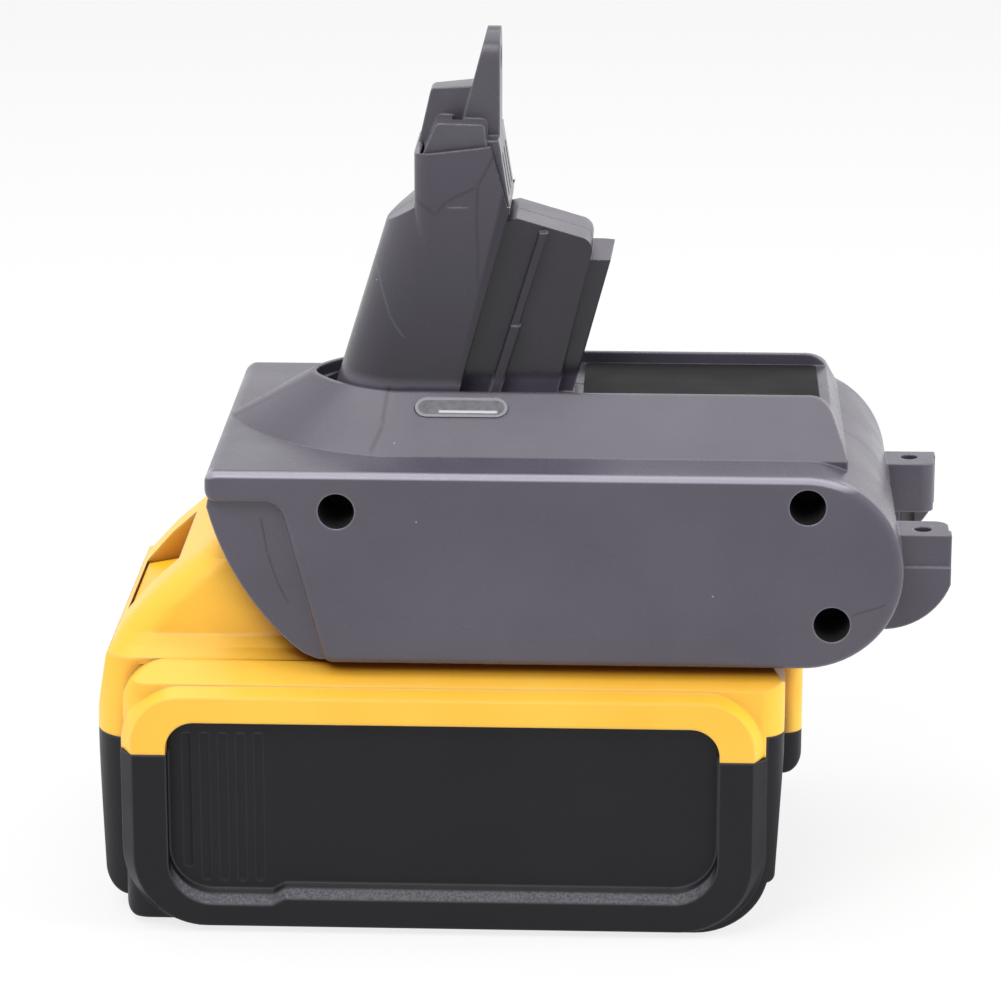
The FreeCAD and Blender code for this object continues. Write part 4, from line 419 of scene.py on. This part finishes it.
def circuit(name):
    """Green solder mask with paler tracks below it and tinned pads."""
    surface = Surface(name, colour(24, 92, 58), 0.35)
    tiles = surface.add("TexBrick", offset=0.37, squash=0.6)
    tile = {"Scale": 190.0, "Mortar Size": 0.035, "Brick Width": 0.9, "Row Height": 0.35}
    for name, value in tile.items():
        surface.feed(tiles.inputs[name], value)
    surface.feed(tiles.inputs["Vector"], surface.place)
    tracks = surface.mix(tiles.outputs["Fac"], colour(20, 82, 50), colour(52, 128, 84))
    pads = surface.specks(420, 0.16, 0.22)
    tone = surface.mix(pads, tracks, colour(196, 196, 190))
    return surface.finish(tone, surface.span(pads, 0, 1, 0.35, 0.25))


def cell_wrap():
    """A shrink sleeve round the middle, bare steel at the ends."""
    surface = Surface("cell_wrap", colour(38, 96, 122), 0.35)
    bare = surface.span(surface.size(surface.axis("Y")), 32.15 * MM, 32.25 * MM)
    wrinkles = surface.span(surface.noise(260, 3.0, 0.6), 0.35, 0.7)
    sleeve = surface.mix(wrinkles, colour(34, 88, 112), colour(44, 106, 132))
    surface.feed(surface.shader.inputs["Metallic"], bare)
    tone = surface.mix(bare, sleeve, colour(190, 188, 184))
    return surface.finish(tone, surface.span(bare, 0, 1, 0.38, 0.25))


def capacitor_sleeve():
    """A dark sleeve with one pale stripe down its side, and a bare can on top."""
    surface = Surface("capacitor_sleeve", colour(34, 36, 52), 0.4)
    lid = surface.span(surface.axis("Z", surface.facing), 0.8, 0.95)
    stripe = surface.span(surface.axis("X", surface.facing), 0.86, 0.88)
    tone = surface.mix(stripe, colour(34, 36, 52), colour(170, 172, 180))
    surface.feed(surface.shader.inputs["Metallic"], lid)
    return surface.finish(surface.mix(lid, tone, colour(196, 196, 198)))


def winding():
    """Enamelled copper wire, turn over turn."""
    surface = Surface("inductor_winding", colour(176, 98, 52), 0.3, 0.5, 0.8)
    wave = surface.add("TexWave", wave_type="BANDS", bands_direction="Z")
    surface.feed(wave.inputs["Scale"], 620.0)
    surface.feed(wave.inputs["Vector"], surface.place)
    tone = surface.mix(wave.outputs["Fac"], colour(120, 62, 34), colour(196, 112, 62))
    return surface.finish(tone, None, surface.bump(wave.outputs["Fac"], 0.2 * MM, 0.8))


def smoked():
    """The gauge's dark window."""
    surface = Surface("smoked_window", colour(40, 40, 44), 0.12)
    surface.shader.inputs["Transmission Weight"].default_value = 0.5
    haze = surface.span(surface.noise(500, 3.0, 0.6), 0.3, 0.7)
    tone = surface.mix(haze, colour(34, 34, 38), colour(62, 62, 68))
    return surface.finish(tone, surface.span(haze, 0, 1, 0.1, 0.2))


def give(material, *names):
    for name in names:
        for slot in nodes[name].material_slots:
            slot.material = material


rubber = plain("button_rubber", colour(38, 38, 42), colour(32, 32, 36), 0.6, 0.3)
insulator = plain("black_insulator", colour(40, 40, 43), colour(34, 34, 37), 0.5, 0.4)
frame_white = plain("holder_white", colour(206, 204, 196), colour(196, 193, 184), 0.45)
epoxy = plain("chip_epoxy", colour(30, 30, 32), colour(25, 25, 27), 0.4, 0.5, 3000)
lamp_epoxy = plain("lamp_epoxy", colour(226, 228, 206), colour(216, 218, 192), 0.2, 0.6)
red_sleeve = plain("lead_red", colour(176, 34, 30), colour(160, 28, 26), 0.45)
black_sleeve = plain("lead_black", colour(30, 30, 33), colour(25, 25, 28), 0.45)
brass = metal("tinned_brass", colour(206, 190, 148), colour(178, 160, 118), 0.28)
nickel = metal("nickel", colour(198, 196, 190), colour(174, 172, 166), 0.3, (12, 1, 1))
spring_steel = metal("spring_steel", colour(168, 168, 172), colour(138, 138, 142), 0.26)
zinc = metal("zinc_screw", colour(188, 188, 186), colour(158, 158, 156), 0.32)
black_steel = metal("black_screw", colour(34, 34, 37), colour(26, 26, 28), 0.5)

give(adapter_grey(), "housing_near_half", "housing_far_half")
give(carrier_grey(), "terminal_carrier")
give(pack_yellow(), "pack_upper_housing")
give(button_yellow(), "release_button")
give(pack_black(), "pack_lower_housing")
give(bare_label(), "label_plate")
give(clear_lens(), "indicator_lens")
give(smoked(), "gauge_window")
give(cell_wrap(), "cells")
give(capacitor_sleeve(), "capacitors")
give(winding(), "inductor")
give(circuit("circuit_board"), "indicator_board", "converter_board", "pack_board", "gauge_board")
give(rubber, "gauge_button")
give(insulator, "blade_holder", "terminal_block")
give(frame_white, "cell_holder_near", "cell_holder_far")
give(epoxy, "power_transistors", "pack_chips", "gauge_switch")
give(lamp_epoxy, "indicator_leds", "gauge_leds")
give(red_sleeve, "positive_lead")
give(black_sleeve, "negative_lead")
give(brass, "vacuum_contacts", "pack_blades", "terminal_clips")
give(nickel, "nickel_strips")
give(spring_steel, "release_spring", "spring_plate")
give(zinc, "pack_screws")
give(black_steel, "housing_screws")


def shortening_spring():
    """The release spring as a piece of its own, with its own mesh, carried with the pack."""
    source = nodes["release_spring"]
    spring = bpy.data.objects.new("shortening_spring", source.data.copy())
    spring.matrix_world = source.matrix_world
    scene.collection.objects.link(spring)
    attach(spring, "pack")
    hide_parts("release_spring")
    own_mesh(spring)


shortening_spring()


# Camera: the one that took the photograph

PHOTO_WIDTH = 1001
FOCAL_LENGTH = 4165.6
YAW = math.radians(-2.339)
PITCH = math.radians(16.696)
CAMERA_PLACE = (22.847, -651.182, 256.209)

camera = bpy.data.objects.new("camera", bpy.data.cameras.new("camera"))
scene.collection.objects.link(camera)
camera.data.sensor_width = 36
camera.data.lens = FOCAL_LENGTH / PHOTO_WIDTH * camera.data.sensor_width
camera.location = Vector(CAMERA_PLACE) * MM
camera.rotation_euler = (math.pi / 2 - PITCH, 0, -YAW)
camera.data.clip_start = 0.05
camera.data.clip_end = 20
scene.camera = camera


# Light: a pale room and floor, soft boxes above and beside the camera, and one at each end

ROOM_LIGHT = 0.32
FLOOR_WHITE = 0.8
AIM = Vector((0, 0, 0.06))


def soft_box(name, place, size, power, mirrored=True):
    data = bpy.data.lights.new(name, "AREA")
    data.shape = "RECTANGLE"
    data.size = size[0]
    data.size_y = size[1]
    data.energy = power
    lamp = bpy.data.objects.new(name, data)
    lamp.location = place
    lamp.rotation_euler = (AIM - Vector(place)).to_track_quat("-Z", "Y").to_euler()
    lamp.visible_glossy = mirrored
    scene.collection.objects.link(lamp)


def floor():
    """A pale floor, white to the camera and in reflections, that keeps the shadow."""
    bpy.ops.mesh.primitive_plane_add(size=8, location=(0, 0, -0.2 * MM))
    plane = bpy.context.object
    plane.name = "floor"
    surface = Surface("floor", (0.85, 0.85, 0.85, 1), 0.9)
    rays = surface.add("LightPath").outputs
    seen = surface.any(rays["Is Camera Ray"], rays["Is Glossy Ray"], rays["Is Transmission Ray"])
    white = surface.add("Emission")
    surface.feed(white.inputs["Strength"], 1.0)
    blend = surface.add("MixShader")
    surface.feed(blend.inputs[0], surface.times(seen, FLOOR_WHITE))
    surface.feed(blend.inputs[1], surface.shader.outputs[0])
    surface.feed(blend.inputs[2], white.outputs[0])
    surface.feed(surface.tree.nodes["Material Output"].inputs["Surface"], blend.outputs[0])
    plane.data.materials.append(surface.material)


def world():
    """A room that lights the object at a plain level, and is white to the camera and in reflections."""
    room = bpy.data.worlds.new("room")
    room.use_nodes = True
    tree = room.node_tree
    background = tree.nodes["Background"]
    rays = tree.nodes.new("ShaderNodeLightPath")
    seen = rays.outputs["Is Camera Ray"]
    for kind in ("Is Glossy Ray", "Is Transmission Ray"):
        either = tree.nodes.new("ShaderNodeMath")
        either.operation = "MAXIMUM"
        tree.links.new(seen, either.inputs[0])
        tree.links.new(rays.outputs[kind], either.inputs[1])
        seen = either.outputs[0]
    strength = tree.nodes.new("ShaderNodeMapRange")
    strength.inputs["To Min"].default_value = ROOM_LIGHT
    strength.inputs["To Max"].default_value = 1.0
    tree.links.new(seen, strength.inputs["Value"])
    tree.links.new(strength.outputs["Result"], background.inputs["Strength"])
    background.inputs["Color"].default_value = (1, 1, 1, 1)
    scene.world = room


floor()
world()
soft_box("overhead", (0.0, 0.12, 0.85), (1.0, 0.8), 5.0)
soft_box("key", (-0.35, -0.75, 0.95), (0.7, 0.5), 7.0)
soft_box("right", (1.0, -0.1, 0.4), (0.5, 0.8), 8.0, mirrored=False)
soft_box("left", (-1.0, 0.0, 0.4), (0.5, 0.8), 3.0, mirrored=False)
scene.view_settings.view_transform = "Standard"
